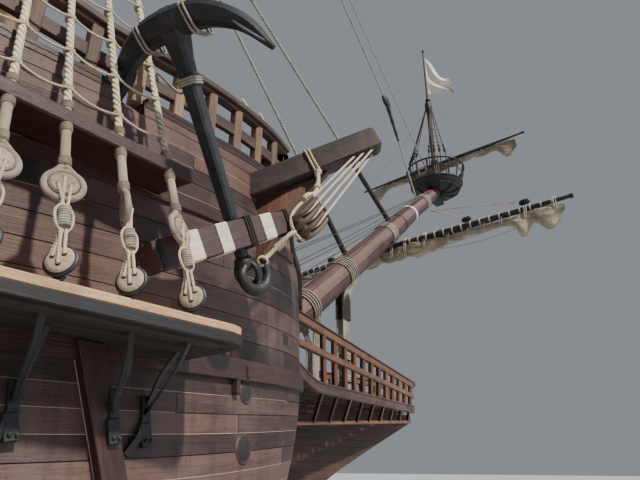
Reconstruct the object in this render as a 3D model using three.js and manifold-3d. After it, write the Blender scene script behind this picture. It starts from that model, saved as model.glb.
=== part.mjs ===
// A three-masted wooden galleon afloat, with its sails furled, as a half-size model.
// Every number below is in metres of the real ship; the exported group turns them into
// millimetres of the model. X points to the bow, Y to port, Z up; the origin is on the
// waterline, amidships.
import * as THREE from "three";
import { mergeVertices } from "three/addons/utils/BufferGeometryUtils.js";
import Module from "manifold-3d";

const wasm = await Module();
wasm.setup();

const MODEL_MM_PER_SHIP_M = 500;
const GAP = 0.0008; // left between pieces that touch, 0.4 mm on the model
const MERGE = 1e-5;

// Driving dimensions of the hull
const HALF_BEAM = 5.08;
const STEM_X = 17;
const BOW_START_X = 8.5; // forward of this the plan is a half ellipse
const STERN_X = -18.5;
const RUN_START_X = -6; // aft of this the plan narrows
const STERN_NARROWING = 1.3;
const TUMBLEHOME = 0.012; // share of the half breadth lost for each metre of height
const KEEL_HALF_WIDTH = 0.22;
const KEEL_Z = -3;
const ENVELOPE_TOP = 13.4;
const BULWARK = 0.28; // thickness of the bulwarks

// Levels
const MAIN_DECK_Z = 4.0;
const FORECASTLE_DECK_Z = 6.7;
const QUARTERDECK_Z = 6.3;
const POOP_DECK_Z = 8.7;
const UPPER_POOP_Z = 10.9;
const HEAD_DECK_Z = 4.6;

// Where the decks end, along X
const FORECASTLE_AFT_X = 5.4;
const HEAD_BULKHEAD_X = 14.6;
const QUARTERDECK_FORE_X = -3.4;
const POOP_FORE_X = -11.6;
const UPPER_POOP_FORE_X = -16.4;

// Masts: foot of each on the centreline
const FORE_X = 9.3;
const MAIN_X = -1.5;
const MIZZEN_X = -13.2;
const SPRIT_X = 29.0;

const clamp01 = (t) => Math.min(1, Math.max(0, t));
const V = (x, y, z) => new THREE.Vector3(x, y, z);

// Hull form. Columns: station x, height of the planking's lower edge there.
const STATIONS = [
  [-18.5, -3], [-17.5, -3], [-16, -3], [-14, -3], [-12, -3], [-9, -3], [-6, -3], [-2, -3],
  [4, -3], [8.5, -3], [10.5, -3], [12, -2.75], [13.2, -2.2], [14.2, -1.35], [15, -0.6],
  [15.7, 0.3], [16.3, 1.6], [16.7, 3], [16.9, 4.1], [17, 5],
];
const ROWS_BELOW = [0, 0.06, 0.16, 0.3, 0.5, 0.72, 0.88, 1]; // shares of keel to widest point

// Height of the widest point of a section
function widestZ(x) {
  const bow = clamp01((x - 10) / 7);
  const stern = clamp01((RUN_START_X - x) / 12.5);
  return 1.2 + 4.2 * bow ** 2 + 2.6 * stern ** 2;
}

function widest(x) {
  if (x > BOW_START_X) {
    const t = (x - BOW_START_X) / (STEM_X - BOW_START_X);
    return Math.max(KEEL_HALF_WIDTH, HALF_BEAM * Math.sqrt(Math.max(0, 1 - t * t)));
  }
  const t = Math.max(0, (RUN_START_X - x) / 12.5);
  return HALF_BEAM - STERN_NARROWING * t * t;
}

function lowerEdge(x) {
  const i = Math.max(1, STATIONS.findIndex((s) => s[0] >= x));
  const [[x0, z0], [x1, z1]] = [STATIONS[i - 1], STATIONS[i]];
  return z0 + ((z1 - z0) * (x - x0)) / (x1 - x0);
}

// Half breadth of the planking at x and height z
function halfBreadth(x, z) {
  const top = widestZ(x);
  const wide = widest(x);
  if (z >= top) return wide * (1 - TUMBLEHOME * (z - top));
  const low = lowerEdge(x);
  const q = clamp01((top - z) / (top - low));
  const bow = clamp01((x - 6) / 11) ** 2;
  const stern = clamp01((-4 - x) / 14.5) ** 2;
  const roundness = 2.3 - 0.8 * bow - 1.2 * stern;
  const fineness = 0.55 + 0.15 * bow + 0.6 * stern + 1.7 * stern ** 4;
  return KEEL_HALF_WIDTH + (wide - KEEL_HALF_WIDTH) * (1 - q ** roundness) ** fineness;
}

// The stern leans aft above the counter and forward below it
function rake(x, z) {
  const share = clamp01((-12 - x) / 6.5) ** 2;
  return share * (z > 2.5 ? -0.27 * (z - 2.5) : 0.12 * (2.5 - z));
}

// Geometry helpers
function solid(geometry) {
  const loose = geometry.index ? geometry.toNonIndexed() : geometry;
  const bare = new THREE.BufferGeometry();
  bare.setAttribute("position", loose.getAttribute("position"));
  const merged = mergeVertices(bare, MERGE);
  const from = merged.index.array;
  const kept = [];
  for (let i = 0; i < from.length; i += 3) {
    const [a, b, c] = [from[i], from[i + 1], from[i + 2]];
    if (a !== b && b !== c && a !== c) kept.push(a, b, c);
  }
  const make = (corners) =>
    new wasm.Manifold(
      new wasm.Mesh({
        numProp: 3,
        vertProperties: merged.attributes.position.array,
        triVerts: Uint32Array.from(corners),
      }),
    );
  const made = make(kept);
  if (made.volume() >= 0) return made;
  for (let i = 0; i < kept.length; i += 3) [kept[i], kept[i + 1]] = [kept[i + 1], kept[i]];
  return make(kept);
}

function geometryOf(manifold) {
  const mesh = manifold.getMesh();
  const geometry = new THREE.BufferGeometry();
  const positions = new Float32Array(mesh.numVert * 3);
  for (let i = 0; i < mesh.numVert; i++) {
    positions.set(mesh.vertProperties.subarray(i * mesh.numProp, i * mesh.numProp + 3), i * 3);
  }
  geometry.setAttribute("position", new THREE.BufferAttribute(positions, 3));
  geometry.setIndex(new THREE.BufferAttribute(mesh.triVerts, 1));
  return geometry;
}

const join = (solids) => solids.reduce((all, one) => all.add(one));
const cut = (from, tools) => tools.reduce((rest, tool) => rest.subtract(tool), from);
const mirrored = (made) => made.mirror([0, 1, 0]);

// A straight timber of rectangular section between two points
function beam(a, b, width, height, width2 = width, height2 = height) {
  const along = b.clone().sub(a);
  const length = along.length();
  const box = new THREE.BoxGeometry(width, height, length);
  const p = box.getAttribute("position");
  for (let i = 0; i < p.count; i++) {
    if (p.getZ(i) > 0) p.setXY(i, (p.getX(i) * width2) / width, (p.getY(i) * height2) / height);
  }
  const z = along.normalize();
  const x = (Math.abs(z.z) > 0.99 ? V(0, 1, 0) : V(0, 0, 1)).cross(z).normalize();
  const y = z.clone().cross(x);
  box.applyMatrix4(new THREE.Matrix4().makeBasis(x, y, z));
  const middle = a.clone().add(b).multiplyScalar(0.5);
  return solid(box.translate(middle.x, middle.y, middle.z));
}

// A round spar through a table of [share of the length, radius]
function spar(a, b, radii, sides = 12) {
  const along = b.clone().sub(a);
  const length = along.length();
  const profile = radii.map(([share, r]) => new THREE.Vector2(r, share * length));
  profile.unshift(new THREE.Vector2(0, profile[0].y));
  profile.push(new THREE.Vector2(0, profile.at(-1).y));
  const turned = new THREE.LatheGeometry(profile, sides);
  const turn = new THREE.Quaternion().setFromUnitVectors(V(0, 1, 0), along.normalize());
  turned.applyQuaternion(turn);
  return solid(turned.translate(a.x, a.y, a.z));
}
const rope = (a, b, radius) => spar(a, b, [[0, radius], [1, radius]], 8);

// A body of revolution about a vertical axis, from [radius, height] pairs
function turnedAt(x, y, pairs, sides = 16) {
  const profile = pairs.map(([r, z]) => new THREE.Vector2(r, z));
  const made = new THREE.LatheGeometry(profile, sides).rotateX(Math.PI / 2);
  return solid(made.translate(x, y, 0));
}

// An outline in X and Z, carried across from y0 to y1
function sidePrism(outline, y0, y1) {
  const shape = new THREE.Shape(outline.map(([x, z]) => new THREE.Vector2(x, z)));
  const made = new THREE.ExtrudeGeometry(shape, { depth: y1 - y0, bevelEnabled: false });
  return solid(made.rotateX(Math.PI / 2).translate(0, y1, 0));
}

// An outline in X and Y, carried up from z0 to z1
function floorPrism(outline, z0, z1) {
  const shape = new THREE.Shape(outline.map(([x, y]) => new THREE.Vector2(x, y)));
  const made = new THREE.ExtrudeGeometry(shape, { depth: z1 - z0, bevelEnabled: false });
  return solid(made.translate(0, 0, z0));
}

// A body with mirrored sides through sections; each section is a list of [x, half breadth, z]
function symmetricLoft(sections) {
  const rows = sections[0].length;
  const corners = [];
  const at = (j, i, side) => [sections[j][i][0], side * sections[j][i][1], sections[j][i][2]];
  const quad = (a, b, c, d) => corners.push(a, b, c, a, c, d);
  for (let j = 0; j + 1 < sections.length; j++) {
    for (let i = 0; i + 1 < rows; i++) {
      quad(at(j, i, -1), at(j + 1, i, -1), at(j + 1, i + 1, -1), at(j, i + 1, -1));
      quad(at(j, i, 1), at(j, i + 1, 1), at(j + 1, i + 1, 1), at(j + 1, i, 1));
    }
    quad(at(j, 0, 1), at(j + 1, 0, 1), at(j + 1, 0, -1), at(j, 0, -1));
    quad(at(j, rows - 1, -1), at(j + 1, rows - 1, -1), at(j + 1, rows - 1, 1), at(j, rows - 1, 1));
  }
  for (let i = 0; i + 1 < rows; i++) {
    const end = sections.length - 1;
    quad(at(0, i, 1), at(0, i, -1), at(0, i + 1, -1), at(0, i + 1, 1));
    quad(at(end, i, -1), at(end, i, 1), at(end, i + 1, 1), at(end, i + 1, -1));
  }
  const geometry = new THREE.BufferGeometry();
  geometry.setAttribute("position", new THREE.BufferAttribute(new Float32Array(corners.flat()), 3));
  return solid(geometry);
}

// The hull's outer form, its sides moved out by grow
function envelope(grow = 0) {
  return symmetricLoft(
    STATIONS.map(([x, low]) => {
      const top = widestZ(x);
      const heights = ROWS_BELOW.map((share) => low + (top - low) * share);
      const end = x === STEM_X || x === STERN_X ? Math.sign(x) * grow : 0;
      return [...heights, ENVELOPE_TOP].map((z, i) => [
        x + rake(x, z) + end,
        halfBreadth(x, z) + grow,
        i === 0 ? z - grow : z,
      ]);
    }),
  );
}

// The space inside the bulwarks
function insideBulwarks() {
  const stations = STATIONS.map(([x]) => x).filter((x) => x > -18 && x < 16.8);
  const ends = [STERN_X + BULWARK, ...stations];
  return symmetricLoft(
    ends.map((x) =>
      [3.5, ENVELOPE_TOP + 1].map((z) => {
        return [x + rake(x, z), Math.max(0.15, halfBreadth(x, z) - BULWARK), z];
      }),
    ),
  );
}

// A strake standing proud of the planking, with its lower and upper edge given at each x
function strake(fromX, toX, lowAt, highAt, proud) {
  const inner = STATIONS.map(([x]) => x).filter((x) => x > fromX && x < toX);
  const corners = [];
  const xs = [fromX, ...inner, toX];
  const ring = (x) => {
    const [low, high] = [lowAt(x), highAt(x)];
    return [[low, -0.25], [low, proud], [high, proud], [high, -0.25]].map(([z, out]) => [
      x + rake(x, z), -(halfBreadth(x, z) + out), z,
    ]);
  };
  const rings = xs.map(ring);
  const quad = (a, b, c, d) => corners.push(a, b, c, a, c, d);
  for (let j = 0; j + 1 < rings.length; j++) {
    for (let i = 0; i < 4; i++) {
      const k = (i + 1) % 4;
      quad(rings[j][i], rings[j + 1][i], rings[j + 1][k], rings[j][k]);
    }
  }
  const last = rings.at(-1);
  quad(...rings[0]);
  quad(last[3], last[2], last[1], last[0]);
  const geometry = new THREE.BufferGeometry();
  geometry.setAttribute("position", new THREE.BufferAttribute(new Float32Array(corners.flat()), 3));
  return solid(geometry);
}

// Paints and woods
const paint = (color, roughness = 0.7, metalness = 0) =>
  new THREE.MeshStandardMaterial({ color, roughness, metalness });
const HULL_WOOD = paint(0x4e342c, 0.65);
const DARK_WOOD = paint(0x33242a, 0.7);
const SPAR_WOOD = paint(0x5f4338, 0.6);
const BLACK_SPAR = paint(0x2b2528, 0.7);
const RAIL_WOOD = paint(0x7a4a30, 0.6);
const IRON = paint(0x25272b, 0.5, 0.6);
const CANVAS = paint(0xa39d84, 0.95);
const ROPE = paint(0x6d6455, 0.9);
const BRASS = paint(0x9a7b35, 0.4, 0.8);
const FLAG = paint(0xe6e1d8, 0.95);

const ship = new THREE.Group();
function piece(name, made, material) {
  const mesh = new THREE.Mesh(geometryOf(made), material);
  mesh.name = name;
  ship.add(mesh);
  return mesh;
}

// Bowsprit, from the deck by the foremast's foot to the sprit top
const BOWSPRIT_HEEL = V(14.6, 0, 3.37);
const BOWSPRIT_SLOPE = 0.836;
const BOWSPRIT_TIP = V(28.62, 0, 3.37 + (28.62 - 14.6) * BOWSPRIT_SLOPE);
const BOWSPRIT_RADII = [[0, 0.5], [0.35, 0.5], [0.7, 0.44], [1, 0.3]];
const grown = (radii, by) => radii.map(([share, r]) => [share, r + by]);
const bowsprit = spar(BOWSPRIT_HEEL, BOWSPRIT_TIP, BOWSPRIT_RADII);
const bowspritRoom = spar(
  BOWSPRIT_HEEL.clone().add(V(-0.002, 0, -0.002)), BOWSPRIT_TIP, grown(BOWSPRIT_RADII, GAP));

// Lower masts. Columns: x, foot z, head z, foot radius, head radius
const LOWER_MASTS = {
  fore: [FORE_X, 6.2, 25.2, 0.36, 0.25],
  main: [MAIN_X, 3.5, 27.6, 0.42, 0.29],
  mizzen: [MIZZEN_X, 8.2, 27.2, 0.27, 0.12],
};
const lowerMast = ([x, foot, head, r0, r1], by = 0) =>
  spar(V(x, 0, foot - by), V(x, 0, head), [[0, r0 + by], [1, r1 + by]]);

// The hull, cut to its sheer, with its decks sunk between the bulwarks
function buildHull() {
  const skyline = [
    [19, 5.55], [16, 5.65], [15.7, 5.85], [15.5, 6.4], [15.3, 6.6], [HEAD_BULKHEAD_X + 0.15, 6.8],
    [HEAD_BULKHEAD_X, 8.05], [13.4, 7.78], [11.2, 7.34], [9.7, 7.15], [8.5, 7.04],
    [FORECASTLE_AFT_X - 0.1, 6.95],
    [FORECASTLE_AFT_X - 0.15, 6.0], [FORECASTLE_AFT_X - 0.5, 5.55], [FORECASTLE_AFT_X - 1, 5.4],
    [QUARTERDECK_FORE_X + 1, 5.4], [QUARTERDECK_FORE_X + 0.4, 5.6],
    [QUARTERDECK_FORE_X + 0.1, 6.2], [QUARTERDECK_FORE_X, 7.3], [POOP_FORE_X + 0.7, 7.75],
    [POOP_FORE_X + 0.2, 8.3], [POOP_FORE_X, 9.6], [UPPER_POOP_FORE_X + 0.5, 10.05],
    [UPPER_POOP_FORE_X + 0.1, 10.6], [UPPER_POOP_FORE_X, 11.7], [-23, 12.6], [-23, 16], [19, 16],
  ];
  // Columns: deck height, aft end, fore end
  const decks = [
    [HEAD_DECK_Z, HEAD_BULKHEAD_X + 0.15, 16.7],
    [FORECASTLE_DECK_Z, FORECASTLE_AFT_X + 0.15, HEAD_BULKHEAD_X],
    [MAIN_DECK_Z, QUARTERDECK_FORE_X, FORECASTLE_AFT_X],
    [QUARTERDECK_Z, POOP_FORE_X, QUARTERDECK_FORE_X - 0.15],
    [POOP_DECK_Z, UPPER_POOP_FORE_X, POOP_FORE_X - 0.15],
    [UPPER_POOP_Z, -20.4, UPPER_POOP_FORE_X - 0.15],
  ];
  const inside = insideBulwarks();
  const wells = decks.map(([z, aft, fore]) =>
    inside.intersect(sidePrism([[aft, z], [fore, z], [fore, 16], [aft, 16]], -6, 6)));
  let made = cut(envelope().subtract(sidePrism(skyline, -7, 7)), wells);

  // Wales. Columns: from x, to x, lower edge amidships, rise forward, its power, rise aft, depth, proud
  const wales = [
    [-18.2, 15.6, 1.3, 0.5, 2, 1.9, 0.34, 0.1],
    [-18.3, 15.7, 3.35, 0.55, 2, 1.9, 0.3, 0.1],
    [-18.3, 14.6, 5.13, 1.37, 1, 1, 0.22, 0.07],
  ];
  const extras = [];
  for (const [from, to, low, fore, power, aft, depth, proud] of wales) {
    const edge = (x) =>
      low + fore * clamp01((x - 6) / 10) ** power + aft * clamp01((-4 - x) / 14.5) ** 2;
    extras.push(strake(from, to, edge, (x) => edge(x) + depth, proud));
  }
  // Upright skids between the wales, and the narrow upper channel that the fore shrouds pass.
  // Columns: x at the upper end, how far forward it runs for each metre down
  for (const [x, slant] of [[9.85, 0.36], [4.7, 0], [1.9, 0], [-0.9, 0]]) {
    const rows = [0.3, 1.2, 2.4, 3.6].map((z) => {
      const middle = x + slant * (3.6 - z);
      return [-0.15, 0.15].flatMap((along) => [-0.1, 0.18].map((out) =>
        [middle + along, -(halfBreadth(middle + along, z) + out), z]));
    });
    for (let i = 0; i < 3; i++) extras.push(wasm.Manifold.hull([...rows[i], ...rows[i + 1]]));
  }
  const upperChannel = floorPrism([[5.6, -4.4], [10.5, -4.4], [10.6, -5.42], [5.6, -5.5]], 5.78, 5.95);
  extras.push(upperChannel);
  made = join([made, ...extras, ...extras.map(mirrored)]);
  // Main hatch coaming and the fore hatch
  made = made.add(floorPrism([[0.4, -0.95], [2.4, -0.95], [2.4, 0.95], [0.4, 0.95]], 3.9, 4.35));
  made = made.add(floorPrism([[6.4, -0.7], [7.6, -0.7], [7.6, 0.7], [6.4, 0.7]], 6.6, 7.0));
  const sockets = Object.values(LOWER_MASTS).map((mast) => lowerMast(mast, GAP));
  return cut(made, [bowspritRoom, ...sockets]);
}

const form = envelope(); // the planking before it is cut to its sheer
const SHIFTS = [[0, 0, 1], [0, 0, -1], [0, 1, 0], [0, -1, 0], [1, 0, 0], [-1, 0, 0],
  ...[-1, 1].flatMap((x) => [-1, 1].flatMap((y) => [-1, 1].map((z) => [x, y, z])))];
const clearOf = (made, other) => {
  return cut(made, SHIFTS.map((s) => other.translate(s.map((step) => step * GAP))));
};
const both = (name, made, material) => {
  piece(`${name}_starboard`, made, material);
  piece(`${name}_port`, mirrored(made), material);
};

// Gunport lids, hung from a rod at their upper edge. Columns: x of the middle
const LIDS = [3.3, 0.5, -2.3];
const LID = { half: 0.4, low: 2.22, axisZ: 2.95, thick: 0.12, rod: 0.03, room: 0.016 };
const lidFace = (x) => halfBreadth(x, 2.6);
function buildLid(x) {
  const face = lidFace(x);
  const plate = new THREE.BoxGeometry(2 * LID.half, LID.thick, LID.axisZ + 0.04 - LID.low);
  plate.translate(x, -face + LID.thick / 2, (LID.axisZ + 0.04 + LID.low) / 2);
  const [y, reach] = [-face + LID.thick / 2, LID.half + 0.08];
  const rod = spar(V(x - reach, y, LID.axisZ), V(x + reach, y, LID.axisZ),
    [[0, LID.rod], [1, LID.rod]], 16);
  return solid(plate).add(rod);
}
function lidRecess(x) {
  const face = lidFace(x);
  const half = LID.half + LID.room;
  const [low, high] = [LID.low - LID.room, LID.axisZ + 0.09];
  const box = new THREE.BoxGeometry(2 * half, 0.9, high - low);
  const reach = LID.half + 0.08 + GAP;
  const y = -face + LID.thick / 2;
  const rod = spar(V(x - reach, y, LID.axisZ), V(x + reach, y, LID.axisZ),
    [[0, LID.rod + GAP], [1, LID.rod + GAP]], 16);
  return solid(box.translate(x, -face, (low + high) / 2)).add(rod);
}

// Anchors stowed at the bow, starboard one. The shank runs from the crown to the ring; the arms
// are rows of [share of the reach, share of the way back to the ring, thickness].
const ANCHOR = {
  crown: V(9.8, -5.8, 7.65), ring: V(11.66, -5.36, 4.96), length: 3.3, arm: 1.28, back: 0.74,
  arms: [[-0.06, -0.02, 0.44], [0.3, 0.02, 0.42], [0.56, 0.2, 0.36], [0.8, 0.52, 0.24], [1, 1, 0.07]],
};
// A bar through square sections; each row is its centre and the size of the square
function squareBar(rows, across, along) {
  const corners = rows.map(([p, size]) => [[-1, -1], [-1, 1], [1, 1], [1, -1]].map(([i, j]) =>
    p.clone().addScaledVector(across, (i * size) / 2).addScaledVector(along, (j * size) / 2).toArray()));
  return join(corners.slice(1).map((end, k) => wasm.Manifold.hull([...corners[k], ...end])));
}
function buildAnchor() {
  const { crown, ring, length, arm, back, arms } = ANCHOR;
  const down = ring.clone().sub(crown).normalize();
  const side = V(0.24, -0.97, 0.01).addScaledVector(down, -V(0.24, -0.97, 0.01).dot(down)).normalize();
  const across = down.clone().cross(side);
  const at = (along, out) => crown.clone().addScaledVector(down, along).addScaledVector(side, out);
  const shank = (by = 0) => beam(at(-0.05, 0), at(length, 0), 0.36 + by, 0.36 + by, 0.2 + by, 0.2 + by);
  const armAt = (s, by = 0) => join([
    squareBar([...arms, [1 + by / arm + 0.001, 1, arms.at(-1)[2]]].map(([out, along, size]) =>
      [at(along * back, out * arm * s), size + by]), across, down),
    beam(at(0.42 * back - by, 0.68 * arm * s), at(0.88 * back + by, 0.9 * arm * s),
      0.4 + by, 0.07 + by, 0.16 + by, 0.05 + by),
  ]);
  const parts = [shank(), armAt(-1), armAt(1)];
  const torus = new THREE.TorusGeometry(0.3, 0.045, 8, 16);
  torus.applyMatrix4(new THREE.Matrix4().makeBasis(down, side, across));
  const eye = at(length + 0.2, 0);
  parts.push(solid(torus.translate(eye.x, eye.y, eye.z)));
  return { made: join(parts), at, shankRoom: shank(2 * GAP), armRoom: armAt(-1, 2 * GAP) };
}
const anchor = buildAnchor();
const STOCK = { fromRing: 0.42, half: 1.4, along: V(0.868, -0.09, 0.488).normalize() };
function buildStock() {
  const middle = anchor.at(ANCHOR.length - STOCK.fromRing, 0);
  const along = (reach) => middle.clone().addScaledVector(STOCK.along, reach);
  const halves = [-1, 1].map((s) =>
    beam(along(-0.1 * s), along(s * STOCK.half), 0.39, 0.39, 0.34, 0.34));
  return join(halves).subtract(anchor.shankRoom);
}

const CAPSTAN = { x: -6.5, pin: 0.05, lift: 0.012 };
const LANTERN = { x: -20.85, post: 0.09 };

const hull = (() => {
  // The inboard bill of each anchor lies in a notch of the bulwark
  const notch = new THREE.BoxGeometry(0.62, 0.9, 1).translate(9.88, -4.55, 7.53);
  const tools = [...LIDS.map(lidRecess), solid(notch), anchor.armRoom];
  tools.push(...tools.map(mirrored));
  tools.push(turnedAt(CAPSTAN.x, 0, [[0, 6.1], [CAPSTAN.pin + GAP, 6.1], [CAPSTAN.pin + GAP, 7], [0, 7]], 20));
  tools.push(turnedAt(LANTERN.x, 0, [[0, 12], [LANTERN.post + GAP, 12], [LANTERN.post + GAP, 13], [0, 13]], 12));
  return cut(buildHull(), tools);
})();
piece("hull", hull, HULL_WOOD);

// Keel, stem, knee of the head and sternpost, in one plane
const POST_LOW = V(-18.2, 0, -3.35);
const POST_HIGH = V(-18.85, 0, 2.35);
const POST_UP = POST_HIGH.clone().sub(POST_LOW).normalize();
const POST_AFT = V(-POST_UP.z, 0, POST_UP.x);
const RUDDER_HALF = 0.15;
const postAt = (up, aft) => POST_LOW.clone().addScaledVector(POST_UP, up).addScaledVector(POST_AFT, aft);
const RUDDER_AXIS_AFT = RUDDER_HALF + 0.012;
const GUDGEONS = [0.9, 2.9, 4.9]; // heights up the sternpost
const PINTLE = 0.045;
function postCylinder(up0, up1, radius) {
  return spar(postAt(up0, RUDDER_AXIS_AFT), postAt(up1, RUDDER_AXIS_AFT), [[0, radius], [1, radius]], 16);
}
function buildBackbone() {
  const under = STATIONS.filter(([x]) => x > -17.6 && x < 17).map(([x, z]) => [x, z + 0.15]);
  const outline = [
    ...under, [16.95, 5.05], [17 + GAP, 5.05], [17.35, 4.85], [17.4, 4.1],
    [24.55, 4.1], [24.5, 3.85], [22.3, 3.05], [20.3, 2.3], [18.5, 1.5], [17, 0.75],
    [16.1, -0.1], [15.2, -1.2], [14, -2.3], [12.6, -3.05], [11, -3.35],
    [POST_LOW.x, POST_LOW.z], [POST_HIGH.x, POST_HIGH.z], [-18.2, 2.35],
  ];
  let made = cut(clearOf(sidePrism(outline, -0.2, 0.2), form), [bowspritRoom]);
  for (const up of GUDGEONS) {
    const arm = beam(postAt(up, -0.05), postAt(up, RUDDER_AXIS_AFT), 0.2, 0.2);
    made = made.add(arm.add(postCylinder(up - 0.1, up + 0.1, 0.1)));
  }
  return cut(made, [postCylinder(0, 6, (PINTLE + GAP) / Math.cos(Math.PI / 16))]);
}
piece("keel_and_stem", buildBackbone(), DARK_WOOD);

function buildRudder() {
  const corners = [[0.08, 0], [5.6, 0], [5.6, 0.75], [4.2, 0.95], [2, 1.35], [0.08, 1.75]];
  const outline = corners.map(([up, aft]) => {
    const p = postAt(up, RUDDER_AXIS_AFT + aft);
    return [p.x, p.z];
  });
  let made = sidePrism(outline, -RUDDER_HALF, RUDDER_HALF).add(postCylinder(0.08, 5.6, RUDDER_HALF));
  for (const up of GUDGEONS) {
    const notch = beam(postAt(up, -0.2), postAt(up, RUDDER_AXIS_AFT + 0.16), 0.5, 0.24);
    made = made.subtract(notch).add(postCylinder(up - 0.2, up + 0.2, PINTLE));
  }
  return made;
}
piece("rudder", buildRudder(), DARK_WOOD);

// Open rails on posts along a line of [x, y] points standing on the bulwark
function railing(lines, topZ, spacing = 1.3) {
  const parts = [];
  for (const line of lines) {
    for (let i = 0; i + 1 < line.length; i++) {
      const [a, b] = [line[i], line[i + 1]];
      const high = (p) => topZ(p[0]);
      for (const down of [0.06, 0.52]) {
        parts.push(beam(V(a[0], a[1], high(a) - down), V(b[0], b[1], high(b) - down), 0.12, 0.16));
      }
      const count = Math.max(1, Math.round(Math.hypot(b[0] - a[0], b[1] - a[1]) / spacing));
      for (let k = 0; k <= count; k++) {
        const [x, y] = [0, 1].map((n) => a[n] + ((b[n] - a[n]) * k) / count);
        parts.push(beam(V(x, y, topZ(x) - 1.35), V(x, y, topZ(x) - 0.02), 0.14, 0.14));
      }
    }
  }
  return [hull, catheadMade, mirrored(catheadMade)].reduce(clearOf, join(parts));
}
const inboard = (x, z) => halfBreadth(x, z) - BULWARK / 2;
const sideLine = (xs, z) => xs.map((x) => [x + rake(x, z), -inboard(x, z)]);
const otherSide = (line) => line.map(([x, y]) => [x, -y]);

const cathead = beam(V(12.8, -4.0, 7.08), V(14.36, -5.86, 8.2), 0.4, 0.44, 0.38, 0.42);
const catheadMade = clearOf(cathead, hull);
both("cathead", catheadMade, HULL_WOOD);

// Columns: name, x of the corners from aft forward, bulwark height, height of the rail at x
const RAILS = [
  ["forecastle_rail", [5.5, 9.2, 10.8, 12.8, 14.5], 7.3, (x) => 8.2 + 0.2 * Math.max(0, x - 9.6)],
  ["quarterdeck_rail", [-11.3, -7.4, -3.47], 7.4, (x) => 8.3 - 0.055 * (x + 3.47)],
  ["poop_rail", [-16.1, -14, -11.67], 9.8, (x) => 10.5 - 0.09 * (x + 11.67)],
];
for (const [name, xs, bulwarkZ, railZ] of RAILS) {
  const side = sideLine(xs, bulwarkZ);
  const across = [side.at(-1), otherSide(side).at(-1)];
  piece(name, railing([side, otherSide(side), across], railZ), RAIL_WOOD);
}

// Channels: boards on the hull's side that spread the shrouds.
// Columns: name, aft end, fore end, under side, thickness, outer edge aft and forward
const CHANNELS = [
  ["fore_channel", 5.2, 11.3, 3.67, 0.22, 6.0, 6.0],
  ["main_channel", -9.0, -1.2, 4.05, 0.22, 6.0, 6.1],
  ["mizzen_channel", -17.0, -12.6, 7.25, 0.18, 4.75, 5.1],
];
for (const [name, aft, fore, low, thick, outAft, outFore] of CHANNELS) {
  const board = floorPrism([
    [aft, -3.5], [fore, -3.5], [fore, -outFore + 0.3], [fore - 0.07, -outFore + 0.1],
    [fore - 0.25, -outFore],
    [aft + 0.15, -outAft], [aft, -outAft + 0.15],
  ], low, low + thick);
  const knees = [0.12, 0.5, 0.88].map((t) => {
    const x = aft + (fore - aft) * t;
    const side = halfBreadth(x, low - 0.9) - 0.1;
    return beam(V(x, -outAft + 0.25, low + 0.05), V(x, -side, low - 0.95), 0.12, 0.16);
  });
  both(name, clearOf(clearOf(join([board, ...knees]), form), hull), DARK_WOOD);
}

both("anchor", anchor.made, IRON);
both("anchor_stock", buildStock(), DARK_WOOD);

// Head: platform and rails that run out along the knee
const HEAD_BAYS = 9;
function headPoint(t, from, to) {
  return V(...[0, 1, 2].map((n) => from[n] + (to[n] - from[n]) * t));
}
const HEAD_RAILS = { // from the bow to the figure's place, starboard
  top: [[15.5, -2.72, 5.58], [24.55, -0.38, 5.17], 0.2, 0.18],
  middle: [[15.6, -2.66, 4.98], [24.5, -0.38, 4.75], 0.14, 0.14],
  wale: [[15.9, -2.45, 4.3], [24.45, -0.37, 4.28], 0.2, 0.3],
  low: [[16.2, -1.75, 3.3], [24.3, -0.33, 3.86], 0.16, 0.16],
};
function buildHeadRails() {
  const parts = Object.values(HEAD_RAILS).map(([from, to, wide, high]) =>
    beam(V(...from), V(...to), wide, high));
  for (let k = 0; k < HEAD_BAYS; k++) {
    const t = (k + 0.9) / HEAD_BAYS;
    const p = Object.fromEntries(
      Object.entries(HEAD_RAILS).map(([name, [from, to]]) => [name, headPoint(t, from, to)]));
    parts.push(beam(p.top, p.wale, 0.12, 0.12), beam(p.wale, p.low, 0.12, 0.14));
  }
  return join(parts);
}
const keelAndStem = buildBackbone();
const headRails = [form, hull, keelAndStem].reduce(clearOf, buildHeadRails());
both("head_rails", headRails, RAIL_WOOD);
const headFloor = floorPrism([
  [16.2, -2.15], [24.2, -0.2], [24.2, 0.2], [16.2, 2.15],
], 4.1 + GAP, 4.22);
const headBeams = [17.6, 19.4, 21.2, 23].map((x) => {
  const half = 2.15 - ((x - 16.2) * 1.95) / 8;
  return floorPrism([[x, -half], [x + 0.2, -half], [x + 0.2, half], [x, half]], 4.1 + GAP, 4.32);
});
const headPlatform = [form, keelAndStem, headRails, mirrored(headRails)].reduce(
  clearOf, join([headFloor, ...headBeams]));
piece("head_platform", headPlatform, RAIL_WOOD);

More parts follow.
